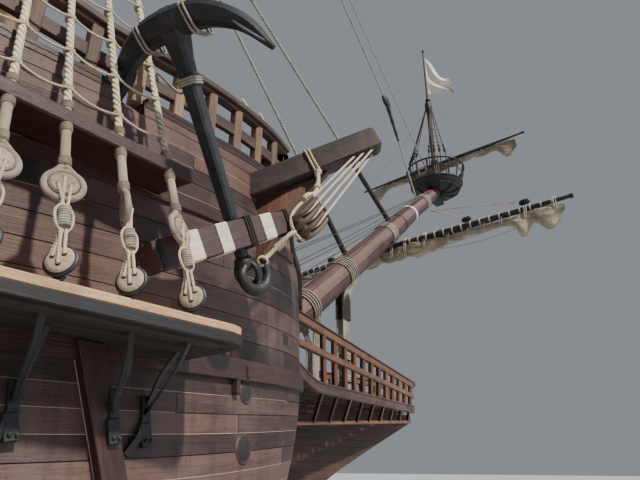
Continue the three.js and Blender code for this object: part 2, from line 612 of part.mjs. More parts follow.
// Stern gallery: a balcony with its rail across the transom, and the lantern above it
function buildGallery() {
  const [floorZ, railZ, half] = [6.9, 7.95, 3.3];
  const [aft, fore] = [-20.75, -19.3];
  const parts = [floorPrism([[aft, -half], [fore, -half], [fore, half], [aft, half]], floorZ - 0.2, floorZ)];
  for (const y of [-2.7, -0.9, 0.9, 2.7]) {
    parts.push(beam(V(aft + 0.2, y, floorZ - 0.1), V(-18.9, y, floorZ - 1.3), 0.18, 0.2));
  }
  const corners = [[fore, -half + 0.08], [aft + 0.08, -half + 0.08], [aft + 0.08, half - 0.08], [fore, half - 0.08]];
  corners.slice(1).forEach((b, i) => {
    const a = corners[i];
    parts.push(beam(V(a[0], a[1], railZ), V(b[0], b[1], railZ), 0.14, 0.18));
    const count = Math.round(Math.hypot(b[0] - a[0], b[1] - a[1]) / 0.7);
    for (let k = 0; k <= count; k++) {
      const [x, y] = [0, 1].map((n) => a[n] + ((b[n] - a[n]) * k) / count);
      parts.push(beam(V(x, y, floorZ - 0.05), V(x, y, railZ), 0.12, 0.12));
    }
  });
  return join(parts);
}
piece("stern_gallery", [form, hull].reduce(clearOf, buildGallery()), RAIL_WOOD);
piece("stern_lantern", turnedAt(LANTERN.x, 0, [
  [0, 12 + GAP], [LANTERN.post, 12 + GAP], [LANTERN.post, 13.3], [0.26, 13.42], [0.42, 14.3],
  [0.3, 14.55], [0.12, 14.75], [0.06, 15.05], [0, 15.05],
], 12), BRASS);

piece("capstan", turnedAt(CAPSTAN.x, 0, [
  [0, 6.1 + GAP], [CAPSTAN.pin, 6.1 + GAP], [CAPSTAN.pin, 6.3 + CAPSTAN.lift],
  [0.62, 6.3 + CAPSTAN.lift], [0.62, 6.42], [0.36, 6.5], [0.3, 7], [0.42, 7.12], [0.5, 7.2],
  [0.5, 7.4], [0, 7.44],
], 20), DARK_WOOD);

// Masts. The topmast stands before the lower masthead, through the top and the cap.
// Columns: name, x, hounds z, masthead z, topmast x, topmast head z, topmast radii, top radius
const MASTS = [
  ["fore", FORE_X, 22.2, 25.0, FORE_X + 0.62, 35.4, 0.2, 0.09, 1.3],
  ["main", MAIN_X, 24.2, 27.4, MAIN_X + 0.7, 37.6, 0.23, 0.1, 1.5],
];
const topmastOf = ([, , hounds, , x, head, r0, r1], by = 0) =>
  spar(V(x, 0, hounds - 0.3 - by), V(x, 0, head), [[0, r0 + by], [1, r1 + by]]);
for (const mast of MASTS) {
  const [name, x, hounds, head, topX, , , , radius] = mast;
  const room = topmastOf(mast, GAP);
  const lower = lowerMast(LOWER_MASTS[name]);
  const cap = solid(new THREE.BoxGeometry(topX - x + 0.8, 0.7, 0.35).translate((x + topX) / 2, 0, head - 0.2));
  const cheeks = solid(new THREE.BoxGeometry(0.3, 0.86, 0.8).translate(x, 0, hounds - 0.4));
  const made = cut(join([lower, cap, cheeks]), [room]);
  piece(`${name}_lower_mast`, made, SPAR_WOOD);
  piece(`${name}_topmast`, topmastOf(mast), SPAR_WOOD);
  const floor = hounds + 0.25;
  const tub = turnedAt(x + 0.25, 0, [
    [0, floor - 0.2], [0.65, floor - 0.2], [radius - 0.3, floor], [radius, floor + 1.1],
    [radius - 0.09, floor + 1.1], [radius - 0.38, floor + 0.1], [0, floor + 0.1],
  ]);
  piece(`${name}_top`, clearOf(clearOf(tub, made), topmastOf(mast)), DARK_WOOD);
}
piece("mizzen_mast", lowerMast(LOWER_MASTS.mizzen), SPAR_WOOD);

// Sprit topmast on the bowsprit's end, in its own top
const SPRIT_MAST_FOOT = 14.6;
const spritMast = (by = 0) =>
  spar(V(SPRIT_X, 0, SPRIT_MAST_FOOT - by), V(SPRIT_X, 0, 24.65), [[0, 0.13 + by], [1, 0.06 + by]]);
const spritKnee = beam(V(28.1, 0, 14.75), V(SPRIT_X + 0.2, 0, 14.75), 0.34, 0.4);
const SPRIT_YARD_X = 24;
const bowspritUp = V(-BOWSPRIT_SLOPE, 0, 1).normalize();
const slingTop = V(SPRIT_YARD_X, 0, BOWSPRIT_HEEL.z + (SPRIT_YARD_X - BOWSPRIT_HEEL.x) * BOWSPRIT_SLOPE);
const sling = (down) => slingTop.clone().addScaledVector(bowspritUp, -down);
const SLING = { radius: 0.06, yardDown: 0.64 }; // a bolt through the middle of the spritsail yard
const slingBolt = spar(sling(0.2), sling(SLING.yardDown + 0.26), [[0, SLING.radius], [1, SLING.radius]], 16);
const bowspritMade = cut(join([bowsprit, spritKnee, slingBolt]), [spritMast(GAP)]);
piece("bowsprit", bowspritMade, SPAR_WOOD);
piece("sprit_topmast", spritMast(), SPAR_WOOD);
const SPRIT_RING = { radius: 1.45, z: 16.5, posts: 8 };
const spritBowl = turnedAt(SPRIT_X, 0, [
  [0, 15.15], [0.8, 15.15], [1.15, 15.35], [1.3, 15.65], [1.22, 15.65], [1.05, 15.45], [0, 15.4],
]);
const spritRing = new THREE.TorusGeometry(SPRIT_RING.radius, 0.045, 6, 24);
const spritPosts = Array.from({ length: SPRIT_RING.posts }, (_, k) => {
  const turn = ((k + 0.5) * 2 * Math.PI) / SPRIT_RING.posts;
  const at = (r, z) => V(SPRIT_X + r * Math.cos(turn), r * Math.sin(turn), z);
  return beam(at(1.24, 15.55), at(SPRIT_RING.radius, SPRIT_RING.z), 0.07, 0.07);
});
const spritTop = join([
  spritBowl, solid(spritRing.translate(SPRIT_X, 0, SPRIT_RING.z)), ...spritPosts,
]);
piece("sprit_top", clearOf(clearOf(spritTop, spritMast()), bowspritMade), DARK_WOOD);

// Yards on parrels that let them swing round the mast, each with its furled sail.
// Columns: name, mast x, mast radius there, z, half length, radius, radius of the furled sail
const PARREL = 0.07;
const radiusAt = (r0, r1, z0, z1, z) => r0 + ((r1 - r0) * (z - z0)) / (z1 - z0);
const YARDS = [
  ["fore", FORE_X, radiusAt(0.36, 0.25, 6.2, 25.2, 20.5), 20.8, 9.2, 0.2, 0.4],
  ["fore_topsail", MASTS[0][4], radiusAt(0.2, 0.09, 21.9, 35.4, 27.85), 28, 5.6, 0.14, 0.27],
  ["main", MAIN_X, radiusAt(0.42, 0.29, 3.5, 27.6, 20.4), 20.7, 10.8, 0.23, 0.45],
  ["main_topsail", MASTS[1][4], radiusAt(0.23, 0.1, 23.9, 37.6, 30.05), 30.2, 6.4, 0.16, 0.3],
  ["sprit_topsail", SPRIT_X, radiusAt(0.13, 0.06, 14.6, 24.65, 16.85), 17, 4.65, 0.1, 0.21],
];
const YARD_TAPER = [[0, 0.4], [0.22, 0.75], [0.42, 1], [0.58, 1], [0.78, 0.75], [1, 0.4]];
const SAIL_TAPER = [[0, 0.25], [0.06, 0.5], [0.28, 0.72], [0.5, 1], [0.72, 0.72], [0.94, 0.5], [1, 0.25]];
const scaled = (taper, radius) => taper.map(([share, k]) => [share, k * radius]);
function parrel(x, mastRadius, z, by = 0) {
  const inner = (mastRadius + GAP) / Math.cos(Math.PI / 12);
  const pairs = [
    [inner - by, z - 0.15 - by], [inner + PARREL + by, z - 0.15 - by],
    [inner + PARREL + by, z + 0.15 + by], [inner - by, z + 0.15 + by], [inner - by, z - 0.15 - by],
  ];
  const profile = pairs.map(([r, h]) => new THREE.Vector2(r, h));
  const ring = new THREE.LatheGeometry(profile, 12, Math.PI / 12).rotateX(Math.PI / 2);
  return { ring: solid(ring.translate(x, 0, 0)), outer: inner + PARREL };
}
for (const [name, x, mastRadius, z, half, radius, bunt] of YARDS) {
  const { ring, outer } = parrel(x, mastRadius, z);
  const yardX = x + outer + radius - 0.05;
  const bar = (by) => spar(V(yardX, -half, z), V(yardX, half, z), grown(scaled(YARD_TAPER, radius), by));
  piece(`${name}_yard`, bar(0).add(ring), BLACK_SPAR);
  const sailX = yardX + 0.6 * bunt;
  const sail = spar(V(sailX, -half * 0.9, z - 0.75 * bunt), V(sailX, half * 0.9, z - 0.75 * bunt),
    scaled(SAIL_TAPER, bunt), 10);
  piece(`${name}_sail`, cut(sail, [bar(GAP), parrel(x, mastRadius, z, GAP).ring]), CANVAS);
}

// Lateen yard of the mizzen, slung aslant on the starboard side of its mast
{
  const [z, radius, bunt] = [17.5, 0.15, 0.3];
  const { ring, outer } = parrel(MIZZEN_X, radiusAt(0.27, 0.12, 8.2, 27.2, 17.2), z);
  const y = -(outer + radius - 0.05);
  const along = V(-0.66, 0, 0.751);
  const at = (s, off = 0) => V(MIZZEN_X + along.x * s - 0.75 * off, y, z + along.z * s - 0.66 * off);
  const yard = join([
    spar(at(-6.4), at(11.6), scaled([[0, 0.6], [0.35, 1], [0.5, 1], [1, 0.35]], radius)), ring,
  ]);
  piece("mizzen_yard", yard, BLACK_SPAR);
  const sail = spar(at(-5.6, 0.8 * bunt), at(10.6, 0.8 * bunt),
    scaled([[0, 0.35], [0.1, 0.7], [0.35, 1], [0.7, 0.7], [1, 0.25]], bunt), 10);
  const mastRoom = spar(V(MIZZEN_X, 0, 10), V(MIZZEN_X, 0, 26), [[0, 0.3], [1, 0.3]]);
  piece("mizzen_sail", clearOf(sail, yard).subtract(mastRoom), CANVAS);
}

// Spritsail yard, slung under the bowsprit
{
  const radius = 0.16;
  const yardAt = sling(SLING.yardDown);
  const room = (SLING.radius + GAP) / Math.cos(Math.PI / 16);
  const bar = (by) => spar(V(yardAt.x, -7.1, yardAt.z), V(yardAt.x, 7.1, yardAt.z),
    grown(scaled(YARD_TAPER, radius), by));
  const bolt = spar(sling(0), sling(1.2), [[0, room], [1, room]], 16);
  piece("spritsail_yard", bar(0).subtract(bolt), BLACK_SPAR);
  const bunt = 0.32;
  const sail = spar(V(yardAt.x + 0.05, -6.3, yardAt.z - 0.9 * bunt), V(yardAt.x + 0.05, 6.3, yardAt.z - 0.9 * bunt),
    scaled(SAIL_TAPER, bunt), 10);
  piece("spritsail_sail", cut(sail, [bar(GAP), bolt]), CANVAS);
}

// Main stays, taut. Columns: name, corners from the head down, radius, what they meet
const mastRoom = (name) => lowerMast(LOWER_MASTS[name], GAP);
const STAYS = [
  ["fore_stay", [[FORE_X, 21.95], [24.5, 11.65]], 0.05, [mastRoom("fore"), bowspritRoom]],
  ["main_stay", [[MAIN_X, 23.9], [8.35, 6.5]], 0.055, [mastRoom("main"), hull.translate([0, 0, GAP])]],
  ["mizzen_stay", [[MIZZEN_X, 25.2], [MAIN_X, 9.4]], 0.035, [mastRoom("mizzen"), mastRoom("main")]],
  ["fore_topmast_stay", [[MASTS[0][4], 34.4], [24.56, 18.3], [26.9, 13.65]], 0.035,
    [topmastOf(MASTS[0], GAP), bowspritRoom]],
  ["main_topmast_stay", [[MASTS[1][4], 36.4], [FORE_X, 23.7]], 0.035,
    [topmastOf(MASTS[1], GAP), mastRoom("fore")]],
];
for (const [name, corners, radius, meets] of STAYS) {
  const runs = corners.slice(1).map(([x, z], i) =>
    rope(V(corners[i][0], 0, corners[i][1]), V(x, 0, z), radius));
  piece(name, cut(join(runs), meets), ROPE);
}

LIDS.forEach((x, i) => {
  const lid = buildLid(x);
  piece(`gunport_lid_starboard_${i + 1}`, lid, DARK_WOOD);
  piece(`gunport_lid_port_${i + 1}`, mirrored(lid), DARK_WOOD);
});

// Flag on the sprit topmast, blown to starboard and drooping
{
  const [hoist, fly, thick, waves, droop] = [1.9, 1.9, 0.03, 0.16, 0.5];
  const steps = 12;
  const edge = [];
  for (let i = 0; i <= steps; i++) {
    const s = i / steps;
    edge.push([0.04 + fly * s, waves * s * Math.sin(s * 9)]);
  }
  const outline = [...edge.map(([x, y]) => [x, y - thick / 2]),
    ...edge.reverse().map(([x, y]) => [x, y + thick / 2])];
  const cloth = floorPrism(outline, 0, hoist).warp((p) => {
    p[2] -= droop * Math.max(0, p[0] / fly) ** 1.5 * (1 - 0.4 * (p[2] / hoist));
  });
  const flown = cloth.rotate([0, 0, -73]).translate([SPRIT_X, 0, 21.9]);
  piece("flag", cut(flown, [spritMast(GAP)]), FLAG);
}

ship.scale.setScalar(MODEL_MM_PER_SHIP_M);
export default ship;
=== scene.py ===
# Looks of a three-masted galleon afloat, half size: planking, rigging, furled sails and gear.
# Shapes are worked out in metres of the real ship and halved when a piece is made.
import math
import random

import bmesh
import bpy
from mathutils import Matrix, Quaternion, Vector, noise


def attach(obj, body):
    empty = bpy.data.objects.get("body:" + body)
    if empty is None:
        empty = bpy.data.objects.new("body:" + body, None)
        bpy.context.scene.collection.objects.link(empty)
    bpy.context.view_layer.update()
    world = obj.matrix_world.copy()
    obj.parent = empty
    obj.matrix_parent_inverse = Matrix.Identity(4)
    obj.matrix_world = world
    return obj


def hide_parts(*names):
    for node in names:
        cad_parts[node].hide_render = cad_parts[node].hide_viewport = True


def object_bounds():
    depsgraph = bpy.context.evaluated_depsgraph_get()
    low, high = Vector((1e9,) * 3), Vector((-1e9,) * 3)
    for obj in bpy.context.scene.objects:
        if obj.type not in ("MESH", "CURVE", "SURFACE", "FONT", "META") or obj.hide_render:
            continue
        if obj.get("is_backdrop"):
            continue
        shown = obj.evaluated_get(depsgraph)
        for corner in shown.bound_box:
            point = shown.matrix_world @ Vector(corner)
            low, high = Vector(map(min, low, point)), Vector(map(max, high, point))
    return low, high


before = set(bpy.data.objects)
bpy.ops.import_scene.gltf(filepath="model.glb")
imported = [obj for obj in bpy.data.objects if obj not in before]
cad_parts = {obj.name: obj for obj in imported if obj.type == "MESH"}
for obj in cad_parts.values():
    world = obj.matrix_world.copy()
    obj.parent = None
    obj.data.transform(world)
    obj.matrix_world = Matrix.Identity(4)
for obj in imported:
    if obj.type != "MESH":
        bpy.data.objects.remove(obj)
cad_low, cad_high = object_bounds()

HALF = 0.5
rng = random.Random(7)
UP = Vector((0, 0, 1))


def V(x, y, z):
    return Vector((x, y, z))


def clamp(t, low=0.0, high=1.0):
    return min(high, max(low, t))


def mix(a, b, t):
    return a + (b - a) * t


def around(angle):
    """The level direction at an angle from the bow."""
    return V(math.cos(angle), math.sin(angle), 0)


def chamfered(w, h, c):
    """Corners of a section 2w wide and 2h high whose edges are planed off by c."""
    return [(-w, -h + c), (-w + c, -h), (w - c, -h), (w, -h + c), (w, h - c), (w - c, h), (-w + c, h),
        (-w, h - c)]


def closed(spots):
    """The spots with the first one again at the end, for a rope that goes right round."""
    return [*spots, spots[0]]


def port(p):
    return Vector((p[0], -p[1], p[2]))


# Hull form, by the same formulas as the CAD's.
HALF_BEAM, STEM_X, BOW_START_X, STERN_X = 5.08, 17, 8.5, -18.5


def widest_z(x):
    return 1.2 + 4.2 * clamp((x - 10) / 7) ** 2 + 2.6 * clamp((-6 - x) / 12.5) ** 2


def widest(x):
    if x > BOW_START_X:
        t = (x - BOW_START_X) / (STEM_X - BOW_START_X)
        return max(0.22, HALF_BEAM * math.sqrt(max(0, 1 - t * t)))
    return HALF_BEAM - 1.3 * max(0, (-6 - x) / 12.5) ** 2


LOWER_EDGE = [(10.5, -3), (12, -2.75), (13.2, -2.2), (14.2, -1.35), (15, -0.6), (15.7, 0.3), (16.3, 1.6),
    (16.7, 3), (16.9, 4.1), (17, 5)]


def read_off(table, x):
    for (x0, z0), (x1, z1) in zip(table, table[1:]):
        if x <= x1:
            return mix(z0, z1, clamp((x - x0) / (x1 - x0)))
    return table[-1][1]


def half_breadth(x, z):
    top, wide = widest_z(x), widest(x)
    if z >= top:
        return wide * (1 - 0.012 * (z - top))
    q = clamp((top - z) / (top - read_off(LOWER_EDGE, x)))
    bow, stern = clamp((x - 6) / 11) ** 2, clamp((-4 - x) / 14.5) ** 2
    roundness = 2.3 - 0.8 * bow - 1.2 * stern
    fineness = 0.55 + 0.15 * bow + 0.6 * stern + 1.7 * stern**4
    return 0.22 + (wide - 0.22) * (1 - q**roundness) ** fineness


def rake(x, z):
    share = clamp((-12 - x) / 6.5) ** 2
    return share * (-0.27 * (z - 2.5) if z > 2.5 else 0.12 * (2.5 - z))


SKYLINE = [(-22.5, 12.55), (-16.4, 11.7), (-16.3, 10.6), (-15.9, 10.05), (-11.6, 9.6), (-11.4, 8.3),
    (-10.9, 7.75), (-3.4, 7.3), (-3.3, 6.2), (-3.0, 5.6), (-2.4, 5.4), (4.4, 5.4), (4.9, 5.55), (5.25, 6.0),
    (5.3, 6.95), (8.5, 7.04), (9.7, 7.15), (11.2, 7.34), (13.4, 7.78), (14.6, 8.05), (14.75, 6.8),
    (15.3, 6.6), (15.5, 6.4), (15.7, 5.85), (16, 5.65), (17, 5.6)]


def skyline(x):
    return read_off(SKYLINE, x)


def sheer(level, x):
    """Height at x of the line along the planking that lies at this level amidships."""
    t = clamp((level - 3.65) / 1.48)
    fore = clamp((x - 6) / 10)
    rise = mix(0.53 * fore**2, 1.37 * fore, t)
    return level + rise + mix(1.9, 1.0, t) * clamp((-4 - x) / 14.5) ** 2


def on_hull(x, z, out=0.0):
    """Point on the starboard side, moved out from the planking."""
    y = half_breadth(x, z)
    along = (half_breadth(x + 0.05, z) - half_breadth(x - 0.05, z)) / 0.1
    up = (half_breadth(x, z + 0.05) - half_breadth(x, z - 0.05)) / 0.1
    normal = V(-along, -1, -up).normalized()
    return V(x + rake(x, z), -y, z) + normal * out


def station(x, z):
    """Where along the hull form a point stands whose place after the stern's rake is x."""
    found = x
    for _ in range(30):
        found = x - rake(found, z)
    return found


class Shape:
    """Collects lofts of one piece, with UVs in metres and a tone for each board."""

    def __init__(self):
        self.points, self.faces, self.uvs, self.slots, self.tones, self.smooth = [], [], [], [], [], []

    def face(self, corners, uvs, slot, tone, smooth):
        self.faces.append(corners)
        self.uvs.extend(uvs)
        self.slots.append(slot)
        self.tones.append(tone)
        self.smooth.append(smooth)

    def loft(self, rings, slot=0, tone=None, closed=True, caps=True, smooth=True, rope=0.0, turned=False):
        """Skin through rings of points. With rope, UVs count diameters along and turns around;
        turned lays the grain round the rings."""
        tone = rng.uniform(-1, 1) if tone is None else tone
        count, start = len(rings[0]), len(self.points)
        for ring in rings:
            self.points.extend(ring)
        shift = rng.uniform(0, 40)
        around = [0.0]
        for i in range(count):
            around.append(around[-1] + (rings[0][(i + 1) % count] - rings[0][i]).length)
        if rope:
            around = [i / count for i in range(count + 1)]
            shift = 0
        centre = [sum(ring, Vector()) / count for ring in rings]
        run = 0.0
        for j in range(len(rings) - 1):
            step = (centre[j + 1] - centre[j]).length
            step = step / rope if rope else step
            for i in range(count if closed else count - 1):
                a, b = start + j * count + i, start + j * count + (i + 1) % count
                u0, u1, v0, v1 = run + shift, run + step + shift, around[i] + shift, around[i + 1] + shift
                corners = [(u0, v0), (u0, v1), (u1, v1), (u1, v0)]
                if turned:
                    corners = [(v, u) for u, v in corners]
                self.face((a, b, b + count, a + count), corners, slot, tone, smooth)
            run += step
        if caps and closed:
            for j in (0, len(rings) - 1):
                base = start + j * count
                ring = rings[j]
                side = max((ring[i] - ring[i - 1] for i in range(count)), key=lambda edge: edge.length)
                normal = (ring[0] - centre[j]).cross(ring[count // 3] - centre[j])
                other = normal.cross(side).normalized() if normal.length > 1e-12 else UP
                side = side.normalized()
                flat = [((p - centre[j]).dot(side) + shift, (p - centre[j]).dot(other) + shift)
                    for p in ring]
                self.face(tuple(range(base, base + count)), flat, slot, tone, False)

    def grid(self, rows, slot=0, tone=0.0, smooth=True):
        self.loft(rows, slot, tone, closed=False, caps=False, smooth=smooth)

    def tube(self, path, radius, sides=8, slot=0, tone=None, rope=True, lobes=0.0, caps=True):
        """A rope or rod along a path; lobes raises the three strands of laid rope."""
        radii = radius if isinstance(radius, (list, tuple)) else [radius] * len(path)
        rings, frames, run = [], transported(path), 0.0
        for k, (p, side, up) in enumerate(frames):
            if k:
                run += (path[k] - path[k - 1]).length
            r, ring = radii[k], []
            for i in range(sides):
                a = 2 * math.pi * i / sides
                grown = r * (1 + lobes * math.cos(3 * (a + 2 * math.pi * run / (7 * radii[0]))))
                ring.append(p + side * (math.cos(a) * grown) + up * (math.sin(a) * grown))
            rings.append(ring)
        self.loft(rings, slot, tone, caps=caps, rope=2 * radii[0] if rope else 0.0)

    def bar(self, path, width, height, up=UP, slot=0, tone=None, bevel=0.015, smooth=False):
        """A timber or flat iron of chamfered section along a path; widths may vary along it."""
        n = len(path)
        widths = width if isinstance(width, (list, tuple)) else [width] * n
        heights = height if isinstance(height, (list, tuple)) else [height] * n
        rings = []
        for k in range(n):
            ahead = (path[min(k + 1, n - 1)] - path[max(k - 1, 0)]).normalized()
            side = ahead.cross(up)
            side = (side if side.length > 1e-6 else ahead.cross(V(1, 0, 0))).normalized()
            top = side.cross(ahead)

            def ring(w, h, at):
                c = min(bevel, 0.3 * w, 0.3 * h)
                return [at + side * x + top * y for x, y in chamfered(w, h, c)]

            w, h = widths[k] / 2, heights[k] / 2
            inset = min(bevel, 0.3 * w, 0.3 * h)
            if k == 0:
                rings.append(ring(w - inset, h - inset, path[0]))
                rings.append(ring(w, h, path[0] + ahead * inset))
            elif k == n - 1:
                rings.append(ring(w, h, path[-1] - ahead * inset))
                rings.append(ring(w - inset, h - inset, path[-1]))
            else:
                rings.append(ring(w, h, path[k]))
        self.loft(rings, slot, tone, smooth=smooth)

    def lathe(self, profile, origin, axis=UP, sides=16, slot=0, tone=None, smooth=True):
        """A turned part from (distance along the axis, radius) pairs."""
        turn = UP.rotation_difference(Vector(axis))
        rings = []
        for height, radius in profile:
            rings.append([Vector(origin) + turn @ V(math.cos(a) * radius, math.sin(a) * radius, height)
                    for a in (2 * math.pi * i / sides for i in range(sides))])
        self.loft(rings, slot, tone, smooth=smooth)

    def slab(self, outline, normal, thickness, bevel=0.01, slot=0, tone=None, smooth=False):
        """A board cut to an outline, its edges eased."""
        normal = Vector(normal).normalized()
        n = len(outline)
        middle = sum(outline, Vector()) / n
        area = sum(((outline[i] - middle).cross(outline[(i + 1) % n] - middle) for i in range(n)), Vector())
        facing = 1 if area.dot(normal) > 0 else -1

        def ring(inset, height):
            made = []
            for i in range(n):
                before, here, after = outline[i - 1], outline[i], outline[(i + 1) % n]
                e0, e1 = (here - before).normalized(), (after - here).normalized()
                n0, n1 = normal.cross(e0) * facing, normal.cross(e1) * facing
                bend = n0 + n1
                bend = bend / max(0.4, bend.length_squared / 2) if bend.length > 1e-6 else n0
                made.append(here + bend * inset + normal * height)
            return made

        b = min(bevel, thickness * 0.45)
        rings = [ring(b, 0), ring(0, b), ring(0, thickness - b), ring(b, thickness)]
        self.loft(rings, slot, tone, smooth=smooth, turned=True)

    def ball(self, centre, axes, power=1.0, slot=0, tone=None, rings=8, sides=14):
        """A rounded block: an ellipsoid on three axes, squarer as power falls below 1."""
        a, b, c = axes

        def bent(t):
            return math.copysign(abs(t) ** power, t)

        made = []
        for j in range(rings + 1):
            lat = -math.pi / 2 + math.pi * (j + 0.02 * (j == 0) - 0.02 * (j == rings)) / rings
            made.append([centre + a * (bent(math.cos(lat)) * bent(math.cos(lon)))
                    + b * (bent(math.cos(lat)) * bent(math.sin(lon))) + c * bent(math.sin(lat))
                    for lon in (2 * math.pi * i / sides for i in range(sides))])
        self.loft(made, slot, tone)

    def mirrored(self):
        """The same shape on the port side."""
        other = Shape()
        other.points = [port(p) for p in self.points]
        other.faces, other.uvs, other.slots = list(self.faces), list(self.uvs), list(self.slots)
        other.tones, other.smooth = list(self.tones), list(self.smooth)
        return other

    def make(self, name, materials, slot=None, body="root", replaces=(), sharp=40):
        mesh = bpy.data.meshes.new(name)
        mesh.from_pydata([p * HALF for p in self.points], [], self.faces)
        layer = mesh.uv_layers.new(name="UVMap")
        layer.data.foreach_set("uv", [t for pair in self.uvs for t in pair])
        mesh.polygons.foreach_set("material_index", self.slots)
        mesh.polygons.foreach_set("use_smooth", self.smooth)
        tone = mesh.attributes.new("tone", "FLOAT", "FACE")
        tone.data.foreach_set("value", self.tones)
        work = bmesh.new()
        work.from_mesh(mesh)
        bmesh.ops.recalc_face_normals(work, faces=work.faces)
        work.to_mesh(mesh)
        work.free()
        for material in materials:
            mesh.materials.append(material)
        mesh.set_sharp_from_angle(angle=math.radians(sharp))
        piece = bpy.data.objects.new(name, mesh)
        bpy.context.scene.collection.objects.link(piece)
        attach(piece, body)
        if replaces:
            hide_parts(*replaces)
        return piece

    def pair(self, name, materials, slot=None, replaces=()):
        """The piece on both sides; names and replaced nodes take _starboard and _port."""
        for shape, side in ((self, "starboard"), (self.mirrored(), "port")):
            shape.make(f"{name}_{side}", materials, slot, replaces=[f"{n}_{side}" for n in replaces])


def transported(path):
    """A frame at each point of a path, turned as little as possible from one to the next."""
    n = len(path)
    tangents = [(path[min(i + 1, n - 1)] - path[max(i - 1, 0)]).normalized() for i in range(n)]
    side = tangents[0].orthogonal().normalized()
    frames = []
    for i, t in enumerate(tangents):
        if i:
            side = tangents[i - 1].rotation_difference(t) @ side
        side = (side - t * side.dot(t)).normalized()
        frames.append((path[i], side, t.cross(side)))
    return frames


def even(points, step):
    """Points spaced evenly along a polyline."""
    lengths = [0.0]
    for a, b in zip(points, points[1:]):
        lengths.append(lengths[-1] + (b - a).length)
    count = max(1, round(lengths[-1] / step))
    made, k = [], 0
    for i in range(count + 1):
        s = lengths[-1] * i / count
        while k < len(points) - 2 and s > lengths[k + 1]:
            k += 1
        span = lengths[k + 1] - lengths[k]
        made.append(points[k].lerp(points[k + 1], clamp((s - lengths[k]) / span if span else 0)))
    return made


def curve(points, step=0.1):
    """A smooth curve through points, evenly spaced."""
    padded = [points[0] * 2 - points[1], *points, points[-1] * 2 - points[-2]]
    made = []
    for a, b, c, d in zip(padded, padded[1:], padded[2:], padded[3:]):
        for i in range(10):
            t = i / 10
            made.append(0.5 * (2 * b + (c - a) * t + (2 * a - 5 * b + 4 * c - d) * t**2
                    + (3 * b - a - 3 * c + d) * t**3))
    return even([*made, points[-1]], step)


def sagging(a, b, sag, step=0.25):
    n = max(4, round((b - a).length / step))
    return [a.lerp(b, i / n) - UP * (4 * sag * (i / n) * (1 - i / n)) for i in range(n + 1)]


def ring_path(centre, normal, radius, count=20, turns=1.0, pitch=0.0, start=0.0):
    side = Vector(normal).normalized().orthogonal().normalized()
    other = Vector(normal).normalized().cross(side)
    total = max(4, round(count * turns))
    return [centre + side * (math.cos(a) * radius) + other * (math.sin(a) * radius)
        + Vector(normal).normalized() * (pitch * (i / count))
        for i, a in ((i, start + 2 * math.pi * turns * i / total) for i in range(total + 1))]


def linear(code):
    """sRGB hex to the linear colour that the shaders take."""
    parts = [int(code[i:i + 2], 16) / 255 for i in (1, 3, 5)]
    return (*(p / 12.92 if p <= 0.04045 else ((p + 0.055) / 1.055) ** 2.4 for p in parts), 1)


def per_metre(*sizes):
    """How many features of these sizes in millimetres go into a metre, as the noises take it."""
    rates = tuple(1000 / size for size in sizes)
    return rates if len(rates) > 1 else rates[0]


class Finish:
    """A material being built, with the coordinates and the board's tone that its patterns use.

    uv is in metres of the real ship, along and across a board. place is in metres of the half-size model.
    """

    def __init__(self, name, **looks):
        self.material = bpy.data.materials.new(name)
        self.material.use_nodes = True
        self.tree = self.material.node_tree
        self.shader = self.tree.nodes["Principled BSDF"]
        for socket, value in looks.items():
            self.shader.inputs[socket.replace("_", " ")].default_value = value
        self.uv = self.add("UVMap", uv_map="UVMap")
        self.place = self.add("TexCoord", out="Object")
        self.tone = self.add("Attribute", attribute_name="tone", out="Fac")

    def add(self, kind, *values, out=None, stops=(), **named):
        """Add a node and hand back its output.

        Values feed the inputs in turn. A name sets the input or setting so called, and stops are those of
        a colour ramp.
        """
        kind, _, operation = kind.partition(".")
        node = self.tree.nodes.new("ShaderNode" + kind)
        if operation:
            node.operation = operation
        inputs = {}
        for key, value in named.items():
            if hasattr(node, key):
                setattr(node, key, value)
            else:
                inputs[node.inputs[key.replace("_", " ")]] = value
        inputs.update(zip([socket for socket in node.inputs if socket.enabled], values))
        for socket, value in inputs.items():
            if isinstance(value, bpy.types.NodeSocket):
                self.tree.links.new(value, socket)
            else:
                socket.default_value = linear(value) if isinstance(value, str) else value
        for _ in stops[2:]:
            node.color_ramp.elements.new(1)
        for k, (at, colour) in enumerate(stops):
            element = node.color_ramp.elements[k]
            element.position = at
            element.color = linear(colour) if isinstance(colour, str) else (colour, colour, colour, 1)
        if out == "all":
            return node.outputs
        return node.outputs[out] if out else next(socket for socket in node.outputs if socket.enabled)

    def done(self, colour, roughness=None, *bumps):
        """Bumps are pairs of a height and its depth in metres, coarse ones first."""
        self.tree.links.new(colour, self.shader.inputs["Base Color"])
        if roughness is not None:
            self.tree.links.new(roughness, self.shader.inputs["Roughness"])
        below = {}
        for height, depth in bumps:
            below = {"Normal": self.add("Bump", Height=height, Distance=depth, Strength=1.0, **below)}
        if below:
            self.tree.links.new(below["Normal"], self.shader.inputs["Normal"])
        return self.material


